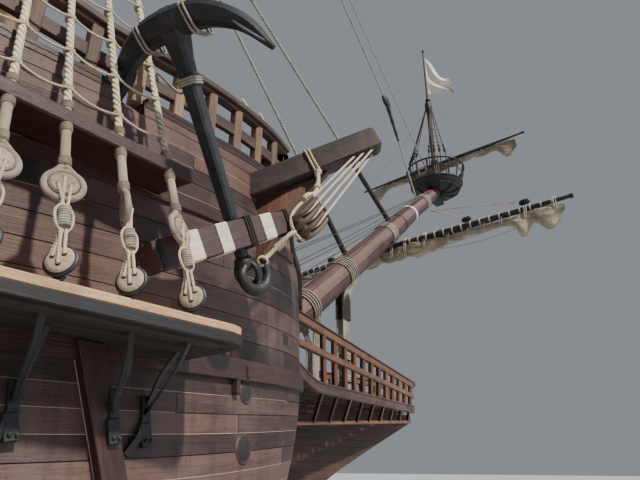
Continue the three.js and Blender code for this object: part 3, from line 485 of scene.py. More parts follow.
def timber(name, dark, middle, light, roughness, streaks, spread, grey="#8d7d74", weather=0.25):
    """Sawn wood, oiled or tarred and left in the weather, with its grain along U.

    The eye gets fibres along the board, wider bands of growth, a tone of its own for each board, grey
    patches that the sun has bleached and dark runs below. Growth rings lie 2 to 5 mm apart and pores are
    0.3 mm wide, too fine to show, so the rings are drawn 17.5 mm and the pores 3.7 mm apart.
    """
    f = Finish(name, IOR=1.5)
    stretched = f.add("VectorMath.MULTIPLY", f.uv, per_metre(350, 17.5, 455))
    grain = f.add("TexNoise", Vector=stretched, Scale=1, Detail=6, Roughness=0.62, Distortion=0.4)
    stretched = f.add("VectorMath.MULTIPLY", f.uv, per_metre(1786, 139, 625))
    band = f.add("TexNoise", Vector=stretched, Scale=1, Detail=3, Roughness=0.5, Distortion=0.8)
    grown = f.add("Math.ADD", f.add("Math.MULTIPLY", grain, 0.55), f.add("Math.MULTIPLY", band, 0.45))
    grown = f.add("Math.ADD", grown, f.add("Math.MULTIPLY", f.tone, spread))
    colour = f.add("ValToRGB", grown, stops=((0.27, dark), (0.5, middle), (0.74, light)))
    patch = f.add("TexNoise", Vector=f.place, Scale=per_metre(714), Detail=5, Roughness=0.6)
    patch = f.add("ValToRGB", patch, stops=((0.46, 0.0), (0.68, 1.0)))
    colour = f.add("Mix", f.add("Math.MULTIPLY", patch, weather), colour, grey, data_type="RGBA")
    stretched = f.add("VectorMath.MULTIPLY", f.place, per_metre(95.2, 95.2, 1212))
    runs = f.add("TexNoise", Vector=stretched, Scale=1, Detail=4, Roughness=0.6)
    runs = f.add("ValToRGB", runs, stops=((0.5, 0.0), (0.78, 1.0)))
    runs = f.add("Math.MULTIPLY", runs, streaks)
    colour = f.add("Mix", runs, colour, dark, data_type="RGBA", blend_type="MULTIPLY")
    specks = f.add("TexNoise", Vector=f.place, Scale=per_metre(18.2), Detail=3, Roughness=0.8)
    specks = f.add("ValToRGB", specks, stops=((0.6, 0.0), (0.66, 0.6)))
    colour = f.add("Mix", specks, colour, dark, data_type="RGBA")
    stretched = f.add("VectorMath.MULTIPLY", f.uv, per_metre(55.6, 3.7, 333))
    pores = f.add("TexNoise", Vector=stretched, Scale=1, Detail=2, Roughness=0.5)
    rough = f.add("Math.ADD", f.add("Math.MULTIPLY", grain, 0.22), f.add("Math.MULTIPLY", patch, 0.18))
    rough = f.add("Math.ADD", rough, roughness - 0.12, use_clamp=True)
    return f.done(colour, rough, (band, 0.004), (grain, 0.0035), (pores, 0.0012))


LAY = 3.5  # diameters along a rope in which a strand goes once round it


def laid_rope(name, dark, light, strands=3, depth=0.012, tar=0.0):
    """Hemp laid in strands: pale ridges that wind round grooves darkened as painted shade, with dirt in
    patches.

    U counts diameters and V turns, so the strands keep their lay on every rope. The fibres are well under
    1 mm, too fine to show, so the fuzz is drawn 6.25 mm apart.
    """
    f = Finish(name, Roughness=0.88, IOR=1.45)
    along, round_it, _ = f.add("SeparateXYZ", f.uv, out="all")
    turn = f.add("Math.MULTIPLY", round_it, strands)
    turn = f.add("Math.ADD", f.add("Math.MULTIPLY", along, strands / LAY), turn)
    groove = f.add("Math.COSINE", f.add("Math.MULTIPLY", turn, 2 * math.pi))
    yarns = f.add("Math.SINE", f.add("Math.MULTIPLY", turn, 10 * math.pi))
    groove = f.add("Math.ADD", f.add("Math.MULTIPLY", groove, 0.5), 0.5)
    groove = f.add("Math.POWER", groove, 0.45)
    dirt = f.add("TexNoise", Vector=f.place, Scale=per_metre(111), Detail=4, Roughness=0.6)
    fuzz = f.add("TexNoise", Vector=f.place, Scale=per_metre(6.25), Detail=2, Roughness=0.6)
    # The groove pattern, which also makes the bump, darkens the colour between the strands: painted shade,
    # mixed with real dirt.
    shade = f.add("Math.ADD", f.add("Math.MULTIPLY", groove, 0.45), f.add("Math.MULTIPLY", dirt, 0.65))
    shade = f.add("Math.ADD", shade, f.add("Math.MULTIPLY", f.tone, 0.05))
    colour = f.add("ValToRGB", shade, stops=((0.3, dark), (0.68, light)))
    if tar:
        smears = f.add("TexNoise", Vector=f.place, Scale=per_metre(143), Detail=4, Roughness=0.65)
        smears = f.add("ValToRGB", smears, stops=((0.5, 0.0), (0.66, 1.0)))
        colour = f.add("Mix", f.add("Math.MULTIPLY", smears, tar), colour, "#2c2926", data_type="RGBA")
    return f.done(colour, None, (groove, depth), (yarns, depth * 0.12), (fuzz, 0.0012))


def metal(name, base, worn, roughness=0.45, metallic=0.75, rust=0.3):
    """Forged or cast metal: a cloudy, slightly pitted face with rust coming through in small spots."""
    f = Finish(name, Metallic=metallic)
    cloud = f.add("TexNoise", Vector=f.place, Scale=per_metre(167), Detail=5, Roughness=0.65)
    pits = f.add("TexNoise", Vector=f.place, Scale=per_metre(14.3), Detail=4, Roughness=0.6)
    shade = f.add("Math.ADD", f.add("Math.MULTIPLY", cloud, 0.7), f.add("Math.MULTIPLY", pits, 0.3))
    colour = f.add("ValToRGB", shade, stops=((0.35, base), (0.75, worn)))
    rusty = f.add("Math.MULTIPLY", cloud, pits)
    rusty = f.add("ValToRGB", rusty, stops=((0.29, 0.0), (0.36, 1.0)))
    colour = f.add("Mix", f.add("Math.MULTIPLY", rusty, rust), colour, "#5a3a28", data_type="RGBA")
    rough = f.add("Math.ADD", f.add("Math.MULTIPLY", pits, 0.35), roughness - 0.15, use_clamp=True)
    return f.done(colour, rough, (cloud, 0.004), (pits, 0.0014))


CLOTH_WIDTH = 0.64  # width of one strip of canvas in the real ship's metres, from seam to seam


def sailcloth(name, shade, cloth, pale, thread=7.0, creases=1.0):
    """Woven cloth: a matt face with damp stains, soft creases darkened in their hollows and paled on their
    ridges as painted shade and highlight, and a dark seam between its strips.

    Real threads lie under 1 mm apart, too fine to show, so they are drawn thread millimetres apart.
    """
    f = Finish(name, Roughness=0.93, IOR=1.45, Sheen_Weight=0.18, Sheen_Roughness=0.5)
    along, across, _ = f.add("SeparateXYZ", f.uv, out="all")
    weave = 2 * math.pi * per_metre(thread)
    warp = f.add("Math.SINE", f.add("Math.MULTIPLY", along, weave))
    weft = f.add("Math.SINE", f.add("Math.MULTIPLY", across, weave))
    threads = f.add("Math.MULTIPLY", warp, weft)
    stain = f.add("TexNoise", Vector=f.place, Scale=per_metre(588), Detail=5, Roughness=0.62)
    stretched = f.add("VectorMath.MULTIPLY", f.uv, per_metre(521, 83.3, 417))
    fold = f.add("TexNoise", Vector=stretched, Scale=1, Detail=5, Roughness=0.6, Distortion=0.6)
    # The crease pattern, which also makes the bump, sets the colour with the stains: its hollows darker as
    # painted shade, its ridges paler as painted highlight.
    value = f.add("Math.ADD", f.add("Math.MULTIPLY", stain, 0.6), f.add("Math.MULTIPLY", fold, 0.4))
    colour = f.add("ValToRGB", value, stops=((0.3, shade), (0.52, cloth), (0.75, pale)))
    seam = f.add("Math.PINGPONG", along, CLOTH_WIDTH / 2)
    seam = f.add("ValToRGB", seam, stops=((0.0, 0.4), (0.012, 0.0)))
    colour = f.add("Mix", seam, colour, shade, data_type="RGBA")
    return f.done(colour, None, (fold, 0.03 * creases), (stain, 0.01 * min(1, creases)), (threads, 0.0001))


def deck_planks(name):
    """The hull's own solid: scrubbed softwood decks where it faces up, dark planking elsewhere.

    Planks are 105 mm wide and 2.6 m long in the model, with caulked joints about 7 mm wide. The fibres
    are drawn 11.4 mm apart, because real ones are too fine to show.
    """
    f = Finish(name, IOR=1.5)
    facing = f.add("SeparateXYZ", f.add("NewGeometry", out="Normal"), out="Z")
    upward = f.add("ValToRGB", f.add("Math.ABSOLUTE", facing), stops=((0.6, 0.0), (0.75, 1.0)))
    x, y, z = f.add("SeparateXYZ", f.place, out="all")
    side_on = f.add("CombineXYZ", f.add("Math.ADD", x, y), z)
    colours, heights = [], []
    for vector, dark, middle, light, joint in ((f.place, "#6f5a45", "#9b8365", "#b9a283", "#2b2420"),
        (side_on, "#180e0c", "#33201b", "#4b332a", "#110b0b")):
        tone, gap = f.add("TexBrick", Vector=vector, Scale=1.0, Mortar_Size=0.0035, Mortar_Smooth=0.2,
            Brick_Width=2.6, Row_Height=0.105, Color1=(0.25, 0.25, 0.25, 1), Color2=(0.75, 0.75, 0.75, 1),
            Mortar=(0, 0, 0, 1), offset=0.43, out="all")
        stretched = f.add("VectorMath.MULTIPLY", vector, per_metre(312.5, 11.36, 31.25))
        fibres = f.add("TexNoise", Vector=stretched, Scale=1, Detail=5, Roughness=0.6, Distortion=0.3)
        value = f.add("Math.ADD", f.add("Math.MULTIPLY", fibres, 0.6), f.add("Math.MULTIPLY", tone, 0.4))
        colour = f.add("ValToRGB", value, stops=((0.3, dark), (0.5, middle), (0.7, light)))
        colours.append(f.add("Mix", gap, colour, joint, data_type="RGBA"))
        heights.append(f.add("Math.SUBTRACT", f.add("Math.MULTIPLY", fibres, 0.3), gap))
    colour = f.add("Mix", upward, colours[1], colours[0], data_type="RGBA")
    height = f.add("Mix", upward, heights[1], heights[0], data_type="RGBA")
    worn = f.add("TexNoise", Vector=f.place, Scale=per_metre(909), Detail=5, Roughness=0.6)
    trodden = f.add("ValToRGB", worn, stops=((0.45, 0.0), (0.7, 1.0)))
    colour = f.add("Mix", f.add("Math.MULTIPLY", trodden, 0.4), colour, "#5a4c42", data_type="RGBA")
    return f.done(colour, f.add("Math.ADD", f.add("Math.MULTIPLY", worn, 0.3), 0.5), (height, 0.004))


def glass_with_painted_shade(name):
    """Old drawn glass, smooth and slightly wavy, with ripples 333 mm apart; opaque, its dark colour is
    painted shade for the unlit space behind it.
    """
    f = Finish(name, IOR=1.52, Roughness=0.08)
    ripple = f.add("TexNoise", Vector=f.place, Scale=per_metre(333), Detail=3, Roughness=0.55)
    colour = f.add("ValToRGB", ripple, stops=((0.3, "#1d2527"), (0.7, "#3f4d4c")))
    return f.done(colour, None, (ripple, 0.01))


# Oiled planking: brown boards that differ in tone, bleached and streaked by rain.
PLANKS = timber("oiled_oak_planking", "#1c1312", "#3e2a28", "#604742", 0.55, 0.55, 0.22, "#776967", 0.35)
# Wales and mouldings, oiled more often, so darker and a little glossier.
MOULDING = timber("oiled_oak_moulding", "#1a0f0f", "#331f1d", "#50332e", 0.42, 0.5, 0.1, "#5d4c49", 0.16)
# Dried caulking compound in the seams: a pale, matt line. The same pale colour on each skid's narrow ledge is
# a painted highlight.
CAULK_AND_PAINTED_HIGHLIGHT = timber("putty_seams_and_painted_highlight", "#75675d", "#a39386", "#c2b5a9", 0.8, 0.3, 0.1)
# Bare boards trodden and dried on top; the boards below the channels, and the head grating, are brown oak
# darkened as painted shade.
CHANNEL_WOOD = timber("bleached_oak_channel", "#7c6048", "#bd9a76", "#d8bd9c", 0.7, 0.3, 0.12, "#6a5c50", 0.3)
UNDERBOARDS_PAINTED_SHADE = timber("oak_underboards_painted_shade", "#171310", "#2c241f", "#463b32", 0.75, 0.6, 0.14, "#352e29",
    0.3)
# Timber under black tar, which hides most of the grain.
BLACK_TIMBER = timber("tarred_oak", "#0f0f12", "#1b1b1e", "#2b2b2f", 0.6, 0.3, 0.08, "#4a494d", 0.12)
# Oiled rails, warm and brown, older ones that have darkened, and posts that have dried paler.
RAIL_WOOD = timber("oiled_oak_rail", "#2c1b15", "#57392b", "#7c5943", 0.55, 0.5, 0.14, "#6f5e52", 0.24)
RAIL_DARK = timber("darkened_oak_rail", "#1f1716", "#3a2b27", "#5a463c", 0.6, 0.4, 0.16, "#7a6b60", 0.26)
POST_WOOD = timber("bleached_oak_post", "#3d2f26", "#6d5745", "#93795f", 0.65, 0.4, 0.18)
# The anchor stock's timber, weathered to a purplish brown.
STOCK_WOOD = timber("weathered_oak_stock", "#1d1216", "#38252a", "#564042", 0.55, 0.45, 0.12, "#6b5c5d", 0.22)
# Spars: a reddish varnish on the bowsprit and the mast on it, oil on the masts, and blacking on the yards.
SPAR_WOOD = timber("varnished_pine_spar", "#2b1c1c", "#4f3839", "#705553", 0.62, 0.4, 0.14, "#7d6b67", 0.26)
MAST_WOOD = timber("oiled_pine_mast", "#4f3626", "#7d5b3f", "#9c7855", 0.5, 0.3, 0.08, "#85746a", 0.2)
BLACK_SPAR = timber("blacked_pine_spar", "#181317", "#2a2228", "#3d3239", 0.5, 0.3, 0.08, "#5d5458", 0.15)
# Fresh end grain and the cathead's knee, more orange than the boards round them.
KNEE_WOOD = timber("sawn_oak_knee", "#321e18", "#5a3b2e", "#7d5846", 0.5, 0.4, 0.1, "#6a5548", 0.2)
# Unpainted turned wood, dried grey on the deadeyes and darker on the block.
DEADEYE_WOOD = timber("turned_elm_deadeye", "#62564b", "#9a897b", "#baab9e", 0.72, 0.4, 0.14, "#807970", 0.35)
BLOCK_WOOD = timber("turned_elm_block", "#2b221e", "#54463c", "#7a6a5c", 0.6, 0.5, 0.2, "#6f665e", 0.3)
# Wrought iron under black paint: a soft dark sheen with a little rust.
BLACK_IRON = metal("painted_wrought_iron", "#1e2024", "#3d4046", 0.5, 0.3, 0.25)
# Cast brass, tarnished brown.
BRASS = metal("cast_brass", "#6c5423", "#a98a45", 0.35, 1.0, 0.25)
# Hemp, from clean cream through weathered grey to tarred black. Served rope is bound in thin line.
CREAM_ROPE = laid_rope("clean_hemp_rope", "#6b6252", "#ddd3bd", depth=0.006)
PALE_LINE = laid_rope("thin_hemp_line", "#796f5e", "#c4baa5", depth=0.001)
SERVED_ROPE = laid_rope("served_hemp_rope", "#7a6f5a", "#c9c1b1", strands=24, depth=0.003, tar=0.3)
GREY_ROPE = laid_rope("weathered_hemp_rope", "#57534c", "#a7a197", depth=0.003, tar=0.4)
TARRED_ROPE = laid_rope("tarred_hemp_rope", "#1b191a", "#47433f", depth=0.004)
# Flax canvas for the sails, a thin flag cloth, and painted canvas round the anchor stock and the bowsprit.
CANVAS = sailcloth("woven_flax_canvas", "#55503f", "#9f9984", "#d9d3c0", creases=1.6)
FLAG_CLOTH = sailcloth("woven_flag_cotton", "#cdc4bb", "#e8e1da", "#f6f2ed", 4.5, 0.2)
BANDS = sailcloth("painted_canvas_band", "#a59d8a", "#ddd6c4", "#efe9da", 5.24, 0.2)
# Window and lantern panes, dark as painted shade for what lies unlit behind them.
GLASS = glass_with_painted_shade("drawn_window_glass")
DECK = deck_planks("scrubbed_pine_deck")


CAMERA_AT, HEADING, PITCH, FOCUS_PX = (3.58, -5.25, 1.2), 40, 23.5, 521
camera = bpy.data.objects.new("camera", bpy.data.cameras.new("camera"))
camera.data.sensor_width, camera.data.lens = 36, FOCUS_PX / 640 * 36
camera.data.clip_end = 400
camera.location = CAMERA_AT
turn, tilt = math.radians(HEADING), math.radians(PITCH)
facing = V(math.cos(turn) * math.cos(tilt), math.sin(turn) * math.cos(tilt), math.sin(tilt))
camera.rotation_euler = facing.to_track_quat("-Z", "Y").to_euler()
bpy.context.scene.collection.objects.link(camera)
bpy.context.scene.camera = camera

floor_look = Finish("matt_pale_floor", Roughness=0.75)
mottle = floor_look.add("TexNoise", Vector=floor_look.place, Scale=per_metre(3333), Detail=4, Roughness=0.55)
floor_look.done(floor_look.add("ValToRGB", mottle, stops=((0.3, "#a7abaf"), (0.7, "#b1b4b8"))))
floor_mesh = bpy.data.meshes.new("floor")
floor_mesh.from_pydata([(-90, -90, 0), (90, -90, 0), (90, 90, 0), (-90, 90, 0)], [], [(0, 1, 2, 3)])
floor_mesh.materials.append(floor_look.material)
floor = bpy.data.objects.new("floor", floor_mesh)
bpy.context.scene.collection.objects.link(floor)
floor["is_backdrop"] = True

world = bpy.data.worlds.new("studio")
bpy.context.scene.world = world
world.use_nodes = True
world.node_tree.nodes["Background"].inputs["Color"].default_value = linear("#ccd3dd")
world.node_tree.nodes["Background"].inputs["Strength"].default_value = 0.42
for name, towards, energy, softness, tint in (("key_light", (0.06, 0.68, -0.76), 6.0, 3, "#fff4e6"),
    ("fill_light", (-0.7, 0.5, -0.3), 0.5, 50, "#e8eefc")):
    lamp = bpy.data.objects.new(name, bpy.data.lights.new(name, "SUN"))
    lamp.data.energy, lamp.data.angle = energy, math.radians(softness)
    lamp.data.color = linear(tint)[:3]
    lamp.rotation_euler = V(*towards).to_track_quat("-Z", "Y").to_euler()
    bpy.context.scene.collection.objects.link(lamp)


LIDS = (3.3, 0.5, -2.3)
PORTS = [(x - 0.42, x + 0.42, 2.18, 3.0) for x in LIDS]
NOTCHES = [(9.57, 10.19, 7.03, 9.0)]
stations = sorted({*(-18.5 + 0.25 * i for i in range(26)), *(-12 + 0.5 * i for i in range(35)),
        *(5.5 + 0.25 * i for i in range(43)), 16.3, 16.65, 16.8, 16.9, 16.97,
        *(x for x, _ in SKYLINE if -11.5 < x < 16.9), *(station(x, z) for x, z in SKYLINE[1:5]),
        *(x for hole in PORTS + NOTCHES for x in hole[:2])})


def planking():
    shape = Shape()
    width, level = 0.252, -5.2
    while level < 13.5:
        cuts = []
        x = -18.5 + rng.uniform(1, 6)
        while x < 16.97:
            cuts.append(min(stations, key=lambda s: abs(s - x)))
            x += rng.uniform(4.5, 6.5)
        tone, pale = rng.uniform(-1, 1), rng.random() < (0.6 if level < 3.3 else 0.3)
        rows = []

        def finish():
            nonlocal rows
            if len(rows) > 1:
                for k in range(4):
                    shape.grid([[row[k], row[k + 1]] for row in rows], 1 if k == 0 and pale else 0, tone,
                        smooth=True)
            rows = []

        for x in stations:
            low, high = sheer(level, x), sheer(level + width, x)
            floor_z = read_off(LOWER_EDGE, x) + 0.02
            top = skyline(x + rake(x, high)) - 0.01
            holed = any(a - 0.01 <= x <= b - 0.01 and c < (low + high) / 2 < d for a, b, c, d in PORTS
                + NOTCHES)
            low, high = max(low, floor_z), min(high, top)
            if high - low > 0.03:
                groove = 0.046 if pale else 0.032
                rows.append([on_hull(x, low, groove), on_hull(x, low + 0.009, groove),
                        on_hull(x, low + 0.011, 0.05), on_hull(x, high - 0.003, 0.05),
                        on_hull(x, high, 0.03)])
                if x in cuts and len(rows) > 1:
                    here = rows[-1]
                    rows[-1] = [p - V(0.004, 0, 0) for p in here]
                    finish()
                    tone, pale = rng.uniform(-1, 1), rng.random() < (0.6 if level < 3.3 else 0.3)
                    rows = [[p + V(0.004, 0, 0) for p in here]]
            else:
                finish()
            if holed:
                finish()
        finish()
        level += width
    shape.pair("hull_planking", [PLANKS, CAULK_AND_PAINTED_HIGHLIGHT], "hull_planks")


def along_hull(profile, x0, x1, step=0.25):
    """A moulding along the side: profile gives (height, stand-off) pairs at x."""
    shape = Shape()
    n = max(2, round((x1 - x0) / step))
    rows = []
    for i in range(n + 1):
        x = mix(x0, x1, i / n)
        rows.append([on_hull(x, z, out) for z, out in profile(x)])
    shape.loft(rows, tone=0.2, smooth=False)
    return shape


def wale_low(x, low, fore, power, aft):
    return low + fore * clamp((x - 6) / 10) ** power + aft * clamp((-4 - x) / 14.5) ** 2


WALES = [("lower_wale", -18.2, 15.62, 1.3, 0.5, 2, 1.9, 0.34, 0.125), ("main_wale", -18.3, 15.72, 3.35,
        0.55, 2, 1.9, 0.3, 0.125), ("upper_wale", -18.3, 14.6, 5.13, 1.37, 1, 1.0, 0.22, 0.095)]
for name, x0, x1, low, fore, power, aft, depth, proud in WALES:
    def section(x, low=low, fore=fore, power=power, aft=aft, depth=depth, proud=proud):
        z = wale_low(x, low, fore, power, aft)
        return [(z - 0.004, 0.0), (z - 0.004, proud - 0.008), (z + 0.006, proud + 0.004),
            (z + depth - 0.006, proud + 0.004), (z + depth + 0.004, proud - 0.008),
            (z + depth + 0.004, 0.0)]
    along_hull(section, x0, x1).pair(name, [MOULDING], "dark_timber")

planking()


def finish_node(material, *names):
    """A CAD node that stays takes this material."""
    for node in names:
        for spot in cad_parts[node].material_slots:
            spot.material = material


finish_node(DECK, "hull", "keel_and_stem", "rudder")


def side_path(x0, x1, height, inboard, step=0.3):
    """Points above the bulwark from x0 to x1, at a height over its top and a distance in from its face."""
    xs = sorted({*(mix(x0, x1, i / max(1, round((x1 - x0) / step))) for i in range(round((x1 - x0) / step)
                    + 1)), *(x for x, _ in SKYLINE if x0 < x < x1)})
    made = []
    for x in xs:
        z = skyline(x)
        s = station(x, z)
        made.append(V(x, -(half_breadth(s, z) - inboard), z + height))
    return made


def bulwark_caps():
    shape = Shape()
    for x0, x1, wide in ((-21.1, -16.42, 0.36), (-16.27, -11.62, 0.36), (-11.36, -3.42, 0.36),
        (-3.28, 5.22, 0.4), (5.32, 9.55, 0.36), (10.2, 14.56, 0.36), (14.8, 15.95, 0.3)):
        shape.bar(side_path(x0, x1, 0.035, 0.12), wide, 0.09, bevel=0.03)
        shape.bar(side_path(x0, x1, -0.05, -0.03), 0.07, 0.09, bevel=0.02)
    shape.bar([V(9.55, -4.9, 7.17), V(9.55, -4.9, 7.0)], 0.1, 0.1)
    shape.pair("bulwark_caps", [MOULDING], "dark_timber")


def skids():
    """Upright rubbing timbers on the topsides, with a pale edge to their fore side that is a painted
    highlight.
    """
    shape = Shape()
    for x, slant in ((9.85, 0.36), (4.7, 0), (1.9, 0), (-0.9, 0)):
        rows = []
        for i in range(19):
            z = mix(0.25, 3.62, i / 18)
            middle = x + slant * (3.6 - z)
            spots = ((-0.172, 0.0), (-0.17, 0.05), (-0.162, 0.055), (-0.16, 0.185), (-0.15, 0.195),
                (0.15, 0.195), (0.16, 0.185), (0.165, 0.0))
            rows.append([V(middle + dx, -half_breadth(middle + dx, z) - out, z) for dx, out in spots])
        for k in range(7):
            # The narrow ledge beside the hull (k 1) takes the pale seam colour as a painted highlight.
            shape.grid([[row[k], row[k + 1]] for row in rows], 1 if k == 1 else 0, 0.3, smooth=False)
        shape.face(tuple(range(len(shape.points), len(shape.points) + 8)), [(p.x, p.y) for p in rows[-1]],
            0, 0, False)
        shape.points.extend(rows[-1])
    shape.pair("skids", [MOULDING, CAULK_AND_PAINTED_HIGHLIGHT], "dark_timber")


def batten():
    """The narrow upper channel that holds the fore shrouds off the side."""
    shape = Shape()
    shape.slab([V(5.55, -4.8, 5.77), V(10.52, -4.8, 5.77), V(10.63, -5.45, 5.77), V(5.55, -5.52, 5.77)], UP,
        0.185, 0.02)
    shape.pair("shroud_batten", [MOULDING], "dark_timber")


def hull_openings():
    """Hawse holes, a scupper box and the worn wood about them, at the starboard bow. The flat black disc in
    each hole and the black patch of the scupper are painted shade for the dark inside the openings.
    """
    rims, dark = Shape(), Shape()
    for x, z, r in ((12.68, 3.44, 0.15), (12.64, 2.62, 0.17)):
        at, tip = on_hull(x, z, 0.03), on_hull(x, z, 1)
        axis = (tip - at).normalized()
        rims.lathe([(0, r + 0.05), (0.025, r + 0.04), (0.04, r + 0.015), (0.035, r), (0.02, r - 0.02)], at,
            axis, 24)
        # A flat black disc just inside the rim: painted shade for the hole.
        dark.lathe([(0.0, 0.02), (0.03, r - 0.005), (0.034, r - 0.01), (0.034, 0.02)], at, axis, 24)
    # A thin black patch on the side: painted shade for the scupper's opening.
    at = on_hull(14.2, 4.59, 0.05)
    out = (on_hull(14.2, 4.59, 1) - at).normalized()
    along = UP.cross(out).normalized()
    dark.slab([at + along * a + UP * b for a, b in ((-0.13, -0.1), (0.13, -0.1), (0.13, 0.1),
                (-0.13, 0.1))], out, 0.006)
    rims.bar([on_hull(12.36, 3.36, 0.09), on_hull(12.36, 3.6, 0.09)], 0.12, 0.1, out, bevel=0.02)
    rims.bar([on_hull(12.62, 3.62, 0.1), on_hull(12.6, 3.8, 0.1)], 0.1, 0.12, out, bevel=0.02)
    rims.pair("hawse_rims", [MOULDING], "dark_timber")
    dark.pair("hawse_hole_painted_shade", [BLACK_TIMBER], "black_iron")


def bow_moulding():
    """The carved edge that steps down from the beakhead bulkhead to the side."""
    shape = Shape()
    rows = []
    spots = [(13.3, 7.62), (13.9, 7.55), (14.35, 7.2), (14.5, 6.9), (14.62, 6.62), (14.9, 6.5),
        (15.25, 6.42), (15.42, 6.2), (15.52, 5.9), (15.75, 5.72), (16.2, 5.55), (16.6, 5.5)]
    path = curve([V(x, 0, z) for x, z in spots], 0.12)
    for p in path:
        s = p.x
        rows.append([on_hull(s, p.z - 0.07, 0.03), on_hull(s, p.z - 0.07, 0.1),
                on_hull(s, p.z - 0.03, 0.13), on_hull(s, p.z + 0.04, 0.13), on_hull(s, p.z + 0.08, 0.1),
                on_hull(s, p.z + 0.08, 0.03)])
    shape.loft(rows, tone=0.1)
    at = on_hull(15.35, 6.3, 0.1)
    shape.bar([at, at + V(0.1, -0.12, 0.02), at + V(0.2, -0.16, 0.03)], 0.07, 0.08, bevel=0.02)
    shape.pair("bow_moulding", [MOULDING], "dark_timber")


def open_rail(name, xs, height_at, node, step=0.8):
    """Rails on posts along both bulwarks and across the fore end of a raised deck."""
    rails, posts = Shape(), Shape()
    side = [V(x, -(half_breadth(station(x, skyline(x)), skyline(x)) - 0.14), height_at(x))
        for x in even_steps(xs, 0.5)]
    lines = [(side, None), ([port(p) for p in side], None), ([side[-1], port(side[-1])], side[-1].z - 1.5)]
    for line, foot in lines:
        rails.bar([p - UP * 0.06 for p in line], 0.3, 0.12, bevel=0.02)
        rails.bar([p - UP * 0.155 for p in line], 0.17, 0.07, bevel=0.015)
        rails.bar([p - UP * 0.62 for p in line], 0.1, 0.22, bevel=0.012)
        for p in even(line, step):
            bottom = foot if foot is not None else skyline(p.x)
            if bottom < p.z - 0.3:
                posts.bar([V(p.x, p.y, bottom), V(p.x, p.y, p.z - 0.17)], 0.18, 0.17, V(1, 0, 0))
    rails.make(name, [RAIL_DARK], "rail_timber", replaces=[node])
    posts.make(name + "_posts", [POST_WOOD], "rail_timber")


def even_steps(xs, step):
    return [p.x for p in even([V(x, 0, 0) for x in xs], step)]


CATHEAD = (V(12.8, -4.0, 7.08), V(14.36, -5.86, 8.2))


